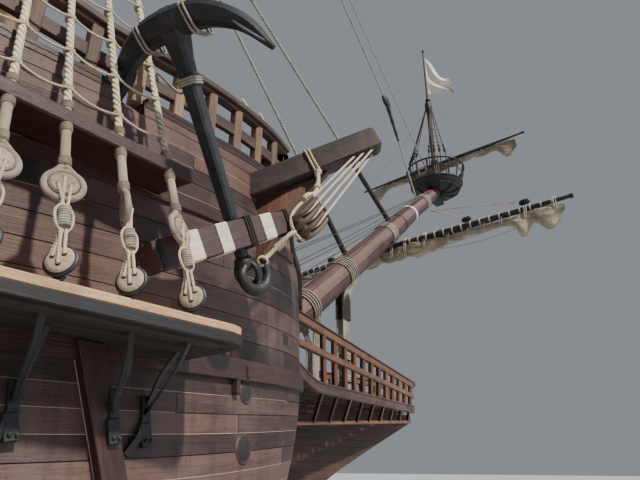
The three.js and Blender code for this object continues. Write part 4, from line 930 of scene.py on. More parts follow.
def cathead():
    heel, tip = CATHEAD
    along = (tip - heel).normalized()
    side = along.cross(UP).normalized()
    top = side.cross(along)
    shape = Shape()
    shape.bar([heel, heel + along * 1.4, tip], [0.41, 0.41, 0.39], [0.45, 0.45, 0.43], bevel=0.025)
    shape.bar([tip - along * 0.012, tip + along * 0.003], 0.36, 0.4, slot=1, bevel=0.03)
    for k in (-1, 0, 1):
        low = tip - along * 0.62 - top * 0.2 + side * (0.105 * k)
        shape.bar([low, low + along * 0.54], 0.045, 0.06, top, slot=2, bevel=0.004)
    shape.lathe([(0, 0.03), (0.03, 0.045), (0.05, 0.02)], heel + along * 0.62 - side * 0.2, -side, 10, 2)
    knee = [V(13.0, -4.02, 7.05), V(13.3, -4.5, 7.12), V(13.83, -5.12, 7.5), V(13.6, -4.9, 7.1),
        V(13.36, -4.62, 6.6), V(13.2, -4.4, 6.1), V(13.05, -4.2, 5.6), V(12.95, -4.05, 5.5)]
    normal = along.cross(UP).normalized()
    shape.slab([p - normal * 0.1 for p in knee], normal, 0.2, 0.03, slot=3)
    shape.pair("cathead", [PLANKS, KNEE_WOOD, BLACK_IRON, KNEE_WOOD], "hull_planks", ["cathead"])
    ropes = Shape()
    for k in (0, 1):
        middle = heel + along * (1.28 + 0.07 * k)
        loop = [middle + side * a + top * b for a, b in ((-0.215, -0.235), (-0.225, 0.0), (-0.215, 0.235),
                (0, 0.245), (0.215, 0.235), (0.225, 0), (0.215, -0.235), (0, -0.25), (-0.215, -0.235))]
        ropes.tube(curve(loop, 0.04), 0.022, 8)
    knot = heel + along * 1.33 + side * 0.2 - top * 0.27
    centre = V(12.52, -5.74, 5.86)
    up_line = (tip - along * 0.34 - top * 0.22 - centre).normalized()
    ropes.tube(curve([knot + UP * 0.1, knot, V(13.3, -5.3, 6.95), V(13.0, -5.48, 6.6),
                centre + V(0.0, -0.02, 0.42), centre + V(-0.12, -0.04, 0.3)], 0.05), 0.036, 8)
    ropes.tube(ring_path(knot - UP * 0.05, (0, 0, 1), 0.05, 14, 3, 0.02), 0.022, 8)
    ropes.tube(ring_path(V(13.2, -5.36, 6.82), (0.5, 0.3, 0.6), 0.045, 14, 5, 0.03), 0.02, 8)
    block = Shape()
    across = up_line.cross(V(0, -1, 0)).normalized()
    deep = up_line.cross(across).normalized()
    for k in range(4):
        cheek = [centre + across * (0.125 * (k - 1.5) - 0.027)
            + up_line * (0.34 * math.copysign(abs(math.cos(a)) ** 0.8, math.cos(a)))
            + deep * (0.22 * math.copysign(abs(math.sin(a)) ** 0.7, math.sin(a)))
            for a in (2 * math.pi * (i + 0.5) / 20 for i in range(20))]
        block.slab(cheek, across, 0.054, 0.016)
    for s in (-1, 1):
        block.bar([centre + up_line * (0.24 * s) - across * 0.18, centre + up_line * (0.24 * s)
                + across * 0.18], 0.1, 0.22, deep, bevel=0.02)
    for k in range(3):
        sheave = centre + across * (0.125 * (k - 1))
        block.lathe([(-0.03, 0.02), (-0.03, 0.17), (-0.015, 0.14), (0.015, 0.14), (0.03, 0.17),
                (0.03, 0.02)], sheave, across, 18, 1)
        for lean in (-1, 1):
            head = tip - along * (0.54 - 0.19 * k) - top * 0.2 + side * (0.1 * lean)
            start = sheave + deep * (0.16 * lean)
            ropes.tube(even([start, head], 0.25), 0.021, 7)
        ropes.tube([sheave + (deep * math.cos(a) - up_line * math.sin(a)) * 0.16 for a in (math.pi * i / 12
                    for i in range(13))], 0.021, 7)
    block.pair("cat_block", [BLOCK_WOOD, BLACK_IRON], "dark_timber")
    strop = [centre + across * (0.245 * a) + up_line * b for a, b in ((0, 0.37), (0.8, 0.3), (1, 0),
            (0.8, -0.32), (0, -0.42), (-0.8, -0.32), (-1, 0), (-0.8, 0.3), (0, 0.37))]
    ropes.tube(curve(strop, 0.05), 0.028, 8)
    hook_eye = V(11.9, -5.46, 5.06)
    ropes.tube(curve([centre - up_line * 0.4, centre - up_line * 0.5 + V(-0.04, 0.02, 0),
                centre.lerp(hook_eye, 0.8), hook_eye], 0.05), 0.032, 8)
    ropes.tube(ring_path(centre.lerp(hook_eye, 0.72), centre - hook_eye, 0.045, 12, 5, 0.035), 0.02, 8)
    ropes.tube(ring_path(hook_eye, (0.5, 0.9, 0.3), 0.06, 18), 0.026, 8)
    ropes.pair("cat_tackle_rope", [PALE_LINE], "tarred_rope")
    hook = Shape()
    bend = curve([V(x, -5.45, z) for x, z in ((11.9, 5.1), (11.97, 5.0), (12.02, 4.88), (11.98, 4.72),
                (11.8, 4.61), (11.62, 4.65), (11.55, 4.77), (11.6, 4.9))], 0.035)
    n = len(bend)
    hook.tube(bend, [0.03 + 0.055 * math.sin(math.pi * (0.06 + 0.9 * i / n)) for i in range(n)], 14,
        rope=False)
    hook.tube(ring_path(hook_eye, (0.3, 0, 1), 0.05, 16), 0.02, 8, rope=False)
    hook.pair("cat_hook", [BLACK_IRON], "black_iron")


def channel(name, aft, fore, low, thick, out_aft, out_fore, irons):
    """A channel board: black edge band, worn upper board, planks below and a bracket at each chain."""
    def outline(grow, z, inner=3.9):
        spots = [(aft, -inner), (fore + grow, -inner), (fore + grow, -out_fore + 0.34),
            (fore + grow - 0.03, -out_fore + 0.17), (fore + grow - 0.12, -out_fore + 0.05 - grow),
            (fore - 0.28, -out_fore - grow), (aft + 0.15, -out_aft - grow), (aft, -out_aft + 0.15)]
        return [V(x, y, z) for x, y in spots]
    shape = Shape()
    shape.slab(outline(0.0, low), UP, thick * 0.56, 0.012, slot=0)
    shape.slab(outline(-0.012, low + thick * 0.56), UP, thick * 0.46, 0.014, slot=1, tone=0.3)
    # The planks under the channel take the third material, darkened as painted shade.
    y = -out_aft + 0.2
    while y < -4.4:
        shape.bar([V(aft + 0.1, y, low - 0.012), V(fore - 0.14 - 0.5 * max(0, -y - out_fore + 0.5), y,
                    low - 0.012)], 0.21, 0.03, slot=2, bevel=0.008)
        y += 0.22
    shape.pair(name, [BLACK_TIMBER, CHANNEL_WOOD, UNDERBOARDS_PAINTED_SHADE], "dark_timber", [name])
    iron = Shape()
    for x, ahead, proud, tail in irons:
        out = -(out_aft + (out_fore - out_aft) * (x - aft) / (fore - aft)) + 0.25
        plate = on_hull(x + ahead, low - 0.68, proud)
        bend = [V(x, out, low + 0.02), V(x + ahead * 0.35, mix(out, plate.y, 0.28), low - 0.26),
            V(x + ahead * 0.8, mix(out, plate.y, 0.8), low - 0.6), plate - UP * 0.06]
        if tail:
            bend.extend([on_hull(x + ahead + tail * 0.5, low - 0.98, proud + 0.03),
                    on_hull(x + ahead + tail, low - 1.16, 0.06)])
        iron.bar(curve(bend, 0.06), 0.095, 0.026, V(0.35, -1, 0.3), bevel=0.006)
        iron.bar(curve([V(x + 0.25, mix(out, plate.y, 0.62), low + 0.01),
                    V(x + ahead + 0.04, mix(out, plate.y, 0.8), low - 0.3), plate + V(0, 0, 0.05)], 0.08),
            0.07, 0.026, V(0.35, -1, 0.3), bevel=0.006)
        top, foot = on_hull(x + ahead - 0.03, low - 0.52, proud), on_hull(x + ahead + 0.03, low - 1.08,
            proud)
        iron.bar([top, foot], 0.11, 0.05, V(0, -1, 0), bevel=0.01)
        iron.bar([top + V(0.01, -0.03, -0.3), foot + V(0, -0.03, 0.01)], 0.135, 0.05, V(0, -1, 0),
            bevel=0.012)
        for dx in (-0.032, 0.032):
            iron.lathe([(0, 0.02), (0.02, 0.02), (0.028, 0.01)], foot + V(dx, -0.05, 0.07), (0, -1, 0), 8)
    iron.pair(name + "_irons", [BLACK_IRON], "black_iron")


LEAN = 0.31  # how far inboard a fore shroud runs for each metre up
RUNG_SPACING = 0.68


def deadeye(wood, iron, rope, at, out, up, radius, strop):
    """A three-holed disc; strop is "rope" for an upper one, "iron" for a lower one."""
    side = up.cross(out).normalized()
    thick = radius * 0.72
    wood.lathe([(-thick / 2, radius * 0.6), (-thick / 2 + 0.004, radius * 0.84), (-thick * 0.22, radius),
            (-thick * 0.1, radius * 0.98), (thick * 0.1, radius * 0.98), (thick * 0.22, radius),
            (thick / 2 - 0.004, radius * 0.84), (thick / 2, radius * 0.6)], at, out, 26)
    if strop == "rope":
        loop = ring_path(at, out, radius * 1.21, 30)
        rope.tube(loop, radius * 0.24, 12)
        # A thin black ring just inside the strop: painted shade of the groove round the disc's rim, built
        # with the straps' iron.
        iron.tube(ring_path(at + out * thick * 0.24, out, radius * 0.98, 30), 0.006, 5, rope=False)
        for s in (-1, 1):
            rope.tube(curve([at + side * (radius * 0.75 * s) + up * radius * 0.9,
                        at + up * radius * 1.7 + side * (0.02 * s), at + up * radius * 2.2], 0.03),
                radius * 0.24, 10)
    else:
        iron.tube(ring_path(at - out * 0.01, out, radius * 1.06, 26), radius * 0.17, 8, rope=False)
        iron.bar([at - up * radius * 0.9 - out * 0.03, V(at.x, at.y + 0.03, at.z - 0.22)], 0.1, 0.04, out,
            bevel=0.01)
    holes = []
    for turn_to in (90, 210, 330):
        a = math.radians(turn_to if strop == "rope" else -turn_to)
        spot = at + (side * math.cos(a) + up * math.sin(a)) * (radius * 0.46)
        # A small black disc on the face at each hole: painted shade standing in for the open hole, built with
        # the straps' iron.
        iron.lathe([(0, 0.024), (0.004, 0.024), (0.005, 0.01)], spot + out * (thick / 2 - 0.002), out, 10)
        holes.append(spot + out * (thick / 2 + 0.008))
    return holes


def shroud_gang(name, feet, top, low_z, near_z, radius):
    """Shrouds of one mast, set up with deadeyes and lanyards, and their ratlines."""
    wood, iron, rope, served, rungs = Shape(), Shape(), Shape(), Shape(), Shape()
    lines, gap, twists = [], 0.9, (0.45, 1.15, -0.3, -0.1, 0.3, -0.2)
    for x, y in feet:
        low = V(x, y, low_z)
        aim = top(x)
        up = (aim - low).normalized()
        out = V(0, -1, -LEAN * 0.5).normalized()
        out = (out - up * out.dot(up)).normalized()
        turned = Quaternion(up, twists[len(lines) % len(twists)] if near_z else 0)
        out_low = Quaternion(up, -0.85 if near_z else 0) @ out
        out_up = turned @ out
        high = low + up * gap
        below = deadeye(wood, iron, served, low, out_low, up, 0.132, "iron")
        above = deadeye(wood, iron, served, high, out_up, up, 0.148, "rope")
        side = up.cross(out).normalized()
        waist = low + up * (gap * 0.52) + out * 0.03
        for k, (a, b) in enumerate(zip(above, below)):
            for deep in (out * 0.0, out * 0.07):
                pinch = waist + side * (0.026 * (k - 1)) - deep * 0.5
                rungs.tube(curve([a - deep, pinch + up * 0.1, pinch - up * 0.1, b - deep], 0.06), 0.0155, 8)
        if near_z:
            rungs.tube(ring_path(waist - up * 0.12, up, 0.05, 14, 8, 0.031), 0.014, 8, 1, rope=False)
            for s in (-1, 1):
                rungs.tube(curve([waist + side * 0.03 * s + up * 0.16, waist + side * 0.085 * s + up * 0.07,
                            waist + side * 0.078 * s - up * 0.07, waist + side * 0.03 * s - up * 0.16],
                        0.04), 0.014, 7)
        start = high + up * 0.26
        cover = high + up * 1.2
        served.tube(even([start, cover], 0.2), radius, 12)
        for lift in (0.0, 0.5, 0.86):
            served.tube(ring_path(start + up * lift, up, radius * 1.05, 12, 4, 0.026), 0.014, 6)
        near = cover + up * max(0.0, (near_z - cover.z) / up.z) if near_z else cover
        if near_z:
            rope.tube(even([cover, near], 0.035), radius * 0.84, 15, lobes=0.14)
        rope.tube(even([near, aim], 1.2), radius * 0.84, 7)
        lines.append((high, aim))
    z = low_z + 2.25
    while z < top(feet[0][0]).z - 1.2:
        crossing = [a.lerp(b, (z + 0.05 * math.sin(9 * z + 3 * i) - a.z) / (b.z - a.z)) for i, (a,
                b) in enumerate(lines)]
        out = V(0, -radius, 0)
        path = []
        for a, b in zip(crossing, crossing[1:]):
            span = (b - a).length
            path.extend((sagging(a + out, b + out, 0.12 * span, max(0.12, span / 6)))[:-1])
        rungs.tube([*path, crossing[-1] + out], 0.016, 5)
        if z < (near_z or 0) + 1.5:
            for p, (a, b) in zip(crossing, lines):
                rungs.tube(ring_path(p - UP * 0.03, b - a, radius * 1.08, 12, 2, 0.035), 0.016, 6)
        z += RUNG_SPACING
    wood.pair(name + "_deadeyes", [DEADEYE_WOOD], "dark_timber")
    iron.pair(name + "_straps", [BLACK_IRON], "black_iron")
    rope.pair(name + "_shrouds", [CREAM_ROPE], "tarred_rope")
    served.pair(name + "_service", [SERVED_ROPE], "tarred_rope")
    rungs.pair(name + "_ratlines", [PALE_LINE, GREY_ROPE], "tarred_rope")


def round_spar(shape, a, b, radii, sides=20, slot=0, tone=0.0, step=0.5):
    """A tapering spar between two points, from (share of the length, radius) pairs."""
    n = max(2, round((b - a).length / step))
    shares = sorted({*(i / n for i in range(n + 1)), *(s for s, _ in radii)})
    table = [(s, r) for s, r in radii]
    path = [a.lerp(b, s) for s in shares]
    shape.tube(path, [read_off(table, s) for s in shares], sides, slot, tone, rope=False)


def hoop(shape, at, axis, radius, slot=0, height=0.1, proud=0.012, sides=24):
    r = radius + proud
    shape.lathe([(-height / 2, radius - 0.02), (-height / 2, r - 0.004), (-height / 2 + 0.006, r),
            (height / 2 - 0.006, r), (height / 2, r - 0.004), (height / 2, radius - 0.02)], at, axis, sides,
        slot)


def woolding(shape, at, axis, radius, turns=7, thick=0.022):
    axis = Vector(axis).normalized()
    shape.tube(ring_path(at - axis * (turns * thick), axis, radius + thick * 0.9, 22, turns, thick * 2),
        thick, 6)


MIZZEN_X = -13.2
MASTS = {"fore": (9.3, 6.2, 25.2, 0.36, 0.25), "main": (-1.5, 3.5, 27.6, 0.42, 0.29),
    "mizzen": (MIZZEN_X, 8.2, 27.2, 0.27, 0.12)}
TOPMASTS = {"fore": (9.92, 22.2, 25.0, 35.4, 0.2, 0.09, 1.3), "main": (-0.8, 24.2, 27.4, 37.6, 0.23, 0.1,
        1.5)}


def lower_mast(name):
    x, foot, head, r0, r1 = MASTS[name]
    wood, rope = Shape(), Shape()
    round_spar(wood, V(x, 0, foot), V(x, 0, head), [(0, r0), (1, r1)], 26)
    deck = {"fore": 6.7, "main": 4.0, "mizzen": 8.7}[name]
    wood.lathe([(0, r0 + 0.02), (0, r0 + 0.16), (0.1, r0 + 0.16), (0.16, r0 + 0.08), (0.16, r0 - 0.02)],
        V(x, 0, deck), UP, 24, 1)
    if name == "mizzen":
        wood.ball(V(x, 0, head - 0.02), (V(0.17, 0, 0), V(0, 0.17, 0), V(0, 0, 0.05)), 1, 1)
        bands = (11.5, 14.5, 20.5, 23)
    else:
        top_x, hounds, cap, *_ = TOPMASTS[name]
        wood.slab([V(x - 0.4, -0.35, cap - 0.375), V(top_x + 0.4, -0.35, cap - 0.375),
                V(top_x + 0.4, 0.35, cap - 0.375), V(x - 0.4, 0.35, cap - 0.375)], UP, 0.35, 0.04, 1)
        for s in (-1, 1):
            wood.slab([V(x - 0.15, 0.3 * s, hounds - 0.8), V(x + 0.15, 0.3 * s, hounds - 0.8),
                    V(x + 0.28, 0.3 * s, hounds), V(x - 0.28, 0.3 * s, hounds)], V(0, s, 0), 0.13, 0.02, 1)
        bands = [hounds - 2 - 2.6 * k for k in range(5)]
    for z in bands:
        woolding(rope, V(x, 0, z), UP, r0 + (r1 - r0) * (z - foot) / (head - foot), 8)
    wood.make(f"{name}_lower_mast_wood", [MAST_WOOD, BLACK_TIMBER], "spar_wood",
        replaces=["mizzen_mast" if name == "mizzen" else f"{name}_lower_mast"])
    rope.make(f"{name}_wooldings", [GREY_ROPE], "tarred_rope")


def topmast(name):
    x, hounds, cap, head, r0, r1, _ = TOPMASTS[name]
    shape = Shape()
    round_spar(shape, V(x, 0, hounds - 0.3), V(x, 0, head), [(0, r0), (1, r1)], 20)
    shape.ball(V(x, 0, head - 0.03), (V(0.15, 0, 0), V(0, 0.15, 0), V(0, 0, 0.025)), 1, 1)
    for share in (0.62, 0.88):
        z = mix(hounds, head, share)
        hoop(shape, V(x, 0, z), UP, mix(r0, r1, share), 1, 0.24, 0.03)
    shape.make(f"{name}_topmast_wood", [MAST_WOOD, BLACK_TIMBER], "spar_wood", replaces=[f"{name}_topmast"])


def fighting_top(name):
    """A round top: staves about a floor on trestletrees, with hoops and a capping ring."""
    mast_x = MASTS[name][0]
    top_x, hounds, _, _, r0, _, radius = TOPMASTS[name]
    x, floor_z = mast_x + 0.25, hounds + 0.25
    shape = Shape()
    count = 28
    for k in range(count):
        rows = []
        for level, r, thick in ((floor_z - 0.02, radius - 0.3, 0.07), (floor_z + 0.5, radius - 0.14, 0.06),
            (floor_z + 1.08, radius - 0.03, 0.06)):
            a0, a1 = 2 * math.pi * (k + 0.03) / count, 2 * math.pi * (k + 0.97) / count
            rows.append([V(x + math.cos(a) * (r + d), math.sin(a) * (r + d), level)
                    for a, d in ((a0, -thick), (a0, -0.008), (a0 * 0.93 + a1 * 0.07, 0),
                        (a0 * 0.07 + a1 * 0.93, 0), (a1, -0.008), (a1, -thick))])
        shape.loft(rows, smooth=False)
    for z, r in ((floor_z + 0.12, radius - 0.26), (floor_z + 0.62, radius - 0.11)):
        shape.lathe([(0, r - 0.05), (0, r + 0.025), (0.07, r + 0.035), (0.07, r - 0.05)], V(x, 0, z), UP,
            36, 1)
    r = radius - 0.03
    shape.lathe([(0, r - 0.09), (0, r + 0.03), (0.045, r + 0.035), (0.045, r - 0.09), (0, r - 0.09)],
        V(x, 0, floor_z + 1.055), UP, 36, 1)
    y = -radius + 0.42
    while y < radius - 0.35:
        half = math.sqrt(max(0.01, (radius - 0.34) ** 2 - y * y))
        gaps = [(-half, half)] if abs(y) > 0.42 else [(-half, mast_x - x - 0.42), (top_x - x + 0.28, half)]
        for a, b in gaps:
            if b - a > 0.1:
                shape.bar([V(x + a, y, floor_z + 0.03), V(x + b, y, floor_z + 0.03)], 0.14, 0.05, slot=2,
                    bevel=0.008)
        y += 0.148
    for s in (-1, 1):
        shape.bar([V(x - radius + 0.3, 0.36 * s, floor_z - 0.12), V(x + radius - 0.3, 0.36 * s,
                    floor_z - 0.12)], 0.13, 0.16)
        shape.bar([V(x + 0.62 * s - 0.05, -0.78, floor_z - 0.1), V(x + 0.62 * s - 0.05, 0.78,
                    floor_z - 0.1)], 0.14, 0.14)
    shape.make(f"{name}_top_tub", [PLANKS, BLACK_TIMBER, CHANNEL_WOOD], "dark_timber",
        replaces=[f"{name}_top"])


# x of the bowsprit's ends and of the small mast on it, and how far it rises for each metre forward.
SPRIT_HEEL, SPRIT_TIP, SPRIT_MAST_X, SPRIT_SLOPE = 14.6, 28.62, 29.0, 0.836


def on_bowsprit(x):
    return V(x, 0, 3.37 + (x - SPRIT_HEEL) * SPRIT_SLOPE)


def bowsprit():
    heel, tip = on_bowsprit(SPRIT_HEEL), on_bowsprit(SPRIT_TIP)
    along = (tip - heel).normalized()
    up = V(-SPRIT_SLOPE, 0, 1).normalized()
    side = V(0, 1, 0)
    radii = [(0, 0.5), (0.35, 0.5), (0.7, 0.44), (1, 0.3)]
    shape, rope = Shape(), Shape()
    length = (tip - heel).length
    for board in range(8):
        rows = []
        for i in range(61):
            r = read_off(radii, i / 60)
            spread = ((0, -0.04), (0.02, 0), (0.25, 0), (0.5, 0), (0.75, 0), (0.98, 0), (1, -0.04))
            rows.append([heel + along * (length * i / 60) + (side * math.cos(a) + up * math.sin(a)) * (r
                        + drop) for a, drop in ((math.pi / 4 * (board + share), drop)
                        for share, drop in spread)])
        shape.grid(rows, tone=rng.uniform(-1, 1))

    def thick(x):
        return read_off(radii, (x - SPRIT_HEEL) / (SPRIT_TIP - SPRIT_HEEL))

    for x in (17.6, 24.9):
        hoop(shape, on_bowsprit(x), along, thick(x), 1, 0.12, 0.015, 40)
    shape.slab([V(28.05, -0.21, 14.56), V(29.2, -0.21, 14.56), V(29.2, 0.21, 14.56), V(28.05, 0.21, 14.56)],
        UP, 0.35, 0.03, 1)
    shape.tube([on_bowsprit(24) - up * 0.2, on_bowsprit(24) - up * 0.9], 0.06, 12, 2, rope=False)
    shape.make("bowsprit_wood", [SPAR_WOOD, BLACK_TIMBER, BLACK_IRON], "spar_wood", replaces=["bowsprit"])
    collar = Shape()
    hoop(collar, on_bowsprit(25.9), along, thick(25.9), 0, 0.16, 0.035, 40)
    collar.make("bowsprit_collars", [BANDS], "canvas")
    for x, turns in ((23.9, 9), (27.3, 9)):
        woolding(rope, on_bowsprit(x), along, thick(x), turns, 0.026)
    for x, foot, waist, turns in ((18.75, 19.2, 6.0, 4), (20.7, 20.75, 7.6, 5)):
        for k in range(turns):
            a, r, foot_x = on_bowsprit(x + 0.09 * k), thick(x) + 0.032, foot + 0.07 * k
            arc = [a + (side * math.cos(t) + up * math.sin(t)) * r for t in (1.6, 1.2, 0.8, 0.4, 0, -0.4,
                    -0.75)]
            loop = [*arc, V(foot_x, 0.16, waist), V(foot_x, 0.13, 5.2), V(foot_x, 0.17, 4.3)]
            for run in (loop, [port(p) for p in loop]):
                rope.tube(curve(run, 0.12), 0.034, 7)
    for s in (-1, 1):
        for low, turns in ((6.95, 15), (5.6, 3), (4.9, 3)):
            wrap = [V(20.9 + 0.2 * math.cos(a), s * (0.14 + 0.06 * math.sin(a)), low + a * 0.0105)
                for a in (i * math.pi / 5 for i in range(10 * turns + 1))]
            rope.tube(wrap, 0.03, 6, 1 if turns > 3 else 0)
    rope.make("bowsprit_lashings", [GREY_ROPE, TARRED_ROPE], "tarred_rope")


def sprit_top():
    shape, mast = Shape(), Shape()
    x = SPRIT_MAST_X
    rows = [(15.15, 0.05), (15.14, 0.8), (15.34, 1.15), (15.5, 1.25), (15.66, 1.31), (15.67, 1.23),
        (15.45, 1.06), (15.41, 0.16)]
    shape.lathe([(z - 15, r) for z, r in rows], V(x, 0, 15), UP, 48)
    for z, r in ((15.28, 1.1), (15.6, 1.285)):
        shape.lathe([(0, r - 0.04), (0, r + 0.03), (0.05, r + 0.035), (0.05, r - 0.04)], V(x, 0, z), UP, 48)
    for k in range(10):
        a = 2 * math.pi * k / 10
        spoke = around(a)
        shape.bar([V(x, 0, 15.1) + spoke * 0.2, V(x, 0, 15.1) + spoke * 0.8, V(x, 0, 15.3) + spoke * 1.15],
            0.06, 0.05)
    ring = ring_path(V(x, 0, 16.5), UP, 1.45, 48)
    shape.tube(ring, 0.045, 10, rope=False)
    shape.tube(ring_path(V(x, 0, 16.1), UP, 1.38, 48), 0.02, 6, rope=False)
    for k in range(16):
        a = 2 * math.pi * (k + 0.5) / 16
        spoke = around(a)
        shape.bar([V(x, 0, 15.55) + spoke * 1.24, V(x, 0, 16.5) + spoke * 1.45], 0.06 if k % 2 else 0.075,
            0.06, slot=k % 2)
    shape.make("sprit_top_bowl", [BLACK_TIMBER, POST_WOOD], "dark_timber", replaces=["sprit_top"])
    round_spar(mast, V(x, 0, 14.6), V(x, 0, 24.65), [(0, 0.13), (0.62, 0.125), (0.64, 0.075), (0.97, 0.05),
            (1, 0.05)], 18)
    mast.ball(V(x, 0, 24.56), (V(0.085, 0, 0), V(0, 0.085, 0), V(0, 0, 0.085)), 1, 1)
    hoop(mast, V(x, 0, 20.6), UP, 0.13, 1, 0.5, 0.06)
    hoop(mast, V(x, 0, 21.05), UP, 0.09, 1, 0.12, 0.05)
    mast.make("sprit_topmast_wood", [SPAR_WOOD, BLACK_TIMBER], "spar_wood", replaces=["sprit_topmast"])
    rope = Shape()
    for s in (-1, 1):
        for k in range(4):
            a = math.radians(128 + 12 * k)
            foot = V(x + 1.42 * math.cos(a), 1.42 * s * math.sin(a), 16.5)
            head = V(x, 0.1 * s, 20.75)
            rope.tube(even([V(x + 1.2 * math.cos(a), 1.2 * s * math.sin(a), 15.75), foot, head], 0.5),
                0.024, 6)
            low = foot.lerp(head, 0.1)
            rope.tube(ring_path(low, head - foot, 0.045, 10, 8, 0.03), 0.017, 5)
            heart = foot.lerp(head, 0.2)
            rope.ball(heart, (V(0.06, 0, 0), V(0, 0.06, 0), V(0, 0, 0.09)), 1, 1)
        for z in (17.6, 18.1, 18.6, 19.1, 19.6):
            t = (z - 16.5) / 4.25
            line = []
            for k in range(4):
                a = math.radians(128 + 12 * k)
                line.append(V(x + 1.42 * math.cos(a), 1.42 * s * math.sin(a),
                        16.5).lerp(V(x, 0.1 * s, 20.75), t))
            rope.tube(even(line, 0.2), 0.01, 5)
    rope.make("sprit_shrouds", [TARRED_ROPE, BLACK_TIMBER], "tarred_rope")


PARREL = 0.07
YARDS = {  # mast x, mast radius there, height, half length, radius, radius of the bundle
    "fore": (9.3, 0.272, 20.8, 9.2, 0.2, 0.4), "fore_topsail": (9.92, 0.151, 28, 5.6, 0.14, 0.27),
    "main": (-1.5, 0.329, 20.7, 10.8, 0.23, 0.45), "main_topsail": (-0.8, 0.172, 30.2, 6.4, 0.16, 0.3),
    "sprit_topsail": (SPRIT_MAST_X, 0.114, 17, 4.65, 0.1, 0.21),
}
YARD_TAPER = [(0, 0.4), (0.22, 0.75), (0.42, 1), (0.58, 1), (0.78, 0.75), (1, 0.4)]
BUNDLE_TAPER = [(0, 0.3), (0.05, 0.62), (0.28, 0.74), (0.5, 1), (0.72, 0.74), (0.95, 0.62), (1, 0.3)]


def furled(name, a, b, bunt, down, fore, body, node, seed, lobes=(), gasket_step=1.05, room=0.0,
    taper=BUNDLE_TAPER):
    """A sail rolled up under its yard: cloth bulging between gaskets, creased along and hanging in lobes.

    down and fore are the directions that the bundle hangs and faces; lobes are (share, width, drop).
    """
    along = (b - a).normalized()
    length = (b - a).length
    count = max(5, round(length / gasket_step))
    steps, sides = count * 14, 44
    ties = [(k + 0.5 + 0.22 * math.sin(seed + 5 * k)) / count for k in range(count)]
    rings, strips = [], []
    for i in range(steps + 1):
        t = i / steps
        near = min(abs(t - tie) for tie in ties) * length
        puff = 0.74 + 0.3 * clamp(near / 0.34) ** 0.7 + 0.06 * noise.noise(V(t * length * 0.9, seed, 3))
        size = bunt * read_off(taper, t) * puff
        hang = 0.0
        for at, wide, drop in lobes:
            hang += drop * math.exp(-(abs((t - at) * length / wide) ** 2.4))
        hang += 0.14 * bunt * noise.noise(V(t * length * 0.55, seed + 9, 0))
        centre = a.lerp(b, t) + down * (0.16 * bunt * (puff - 0.8))
        ring = []
        for k in range(sides):
            ang = 2 * math.pi * k / sides
            c, s = math.cos(ang), math.sin(ang)
            crease = noise.noise(V(t * length * 0.8, 2.3 * c + seed, 2.3 * s)) * 0.2
            fold = abs(noise.noise(V(t * length * 1.7 + seed, 5.5 * c, 5.5 * s))) * 0.26
            fold += abs(noise.noise(V(t * length * 4 + seed, 11 * c, 11 * s + 4))) * 0.1
            r = size * (0.98 + crease - fold)
            lower = clamp(s * 0.9 + 0.1)
            p = centre + fore * (c * r) + down * (s * r * 1.04)
            p += down * (hang * lower ** 1.4) + fore * (0.2 * hang * lower * math.sin(7 * t + seed))
            ring.append(p)
        rings.append(ring)
    shape = Shape()
    shape.loft(rings, tone=0.0)
    piece = shape.make(name, [CANVAS], "canvas", body, [node], sharp=180)
    ropes = Shape()
    for tie in ties:
        for side_step in (-0.035, 0.035):
            t = tie + side_step / length
            size = bunt * read_off(taper, t) * 0.8 + 0.02
            centre = a.lerp(b, t)
            loop = []
            for k in range(21):
                ang = 2 * math.pi * k / 20
                c, s = math.cos(ang), math.sin(ang)
                lift = room if s < 0 else 0
                loop.append(centre + fore * (c * size) + down * (s * size * 1.05 + lift * s)
                    + along * (0.02 * math.sin(3 * ang)))
            ropes.tube(loop, 0.018, 6)
    return ropes


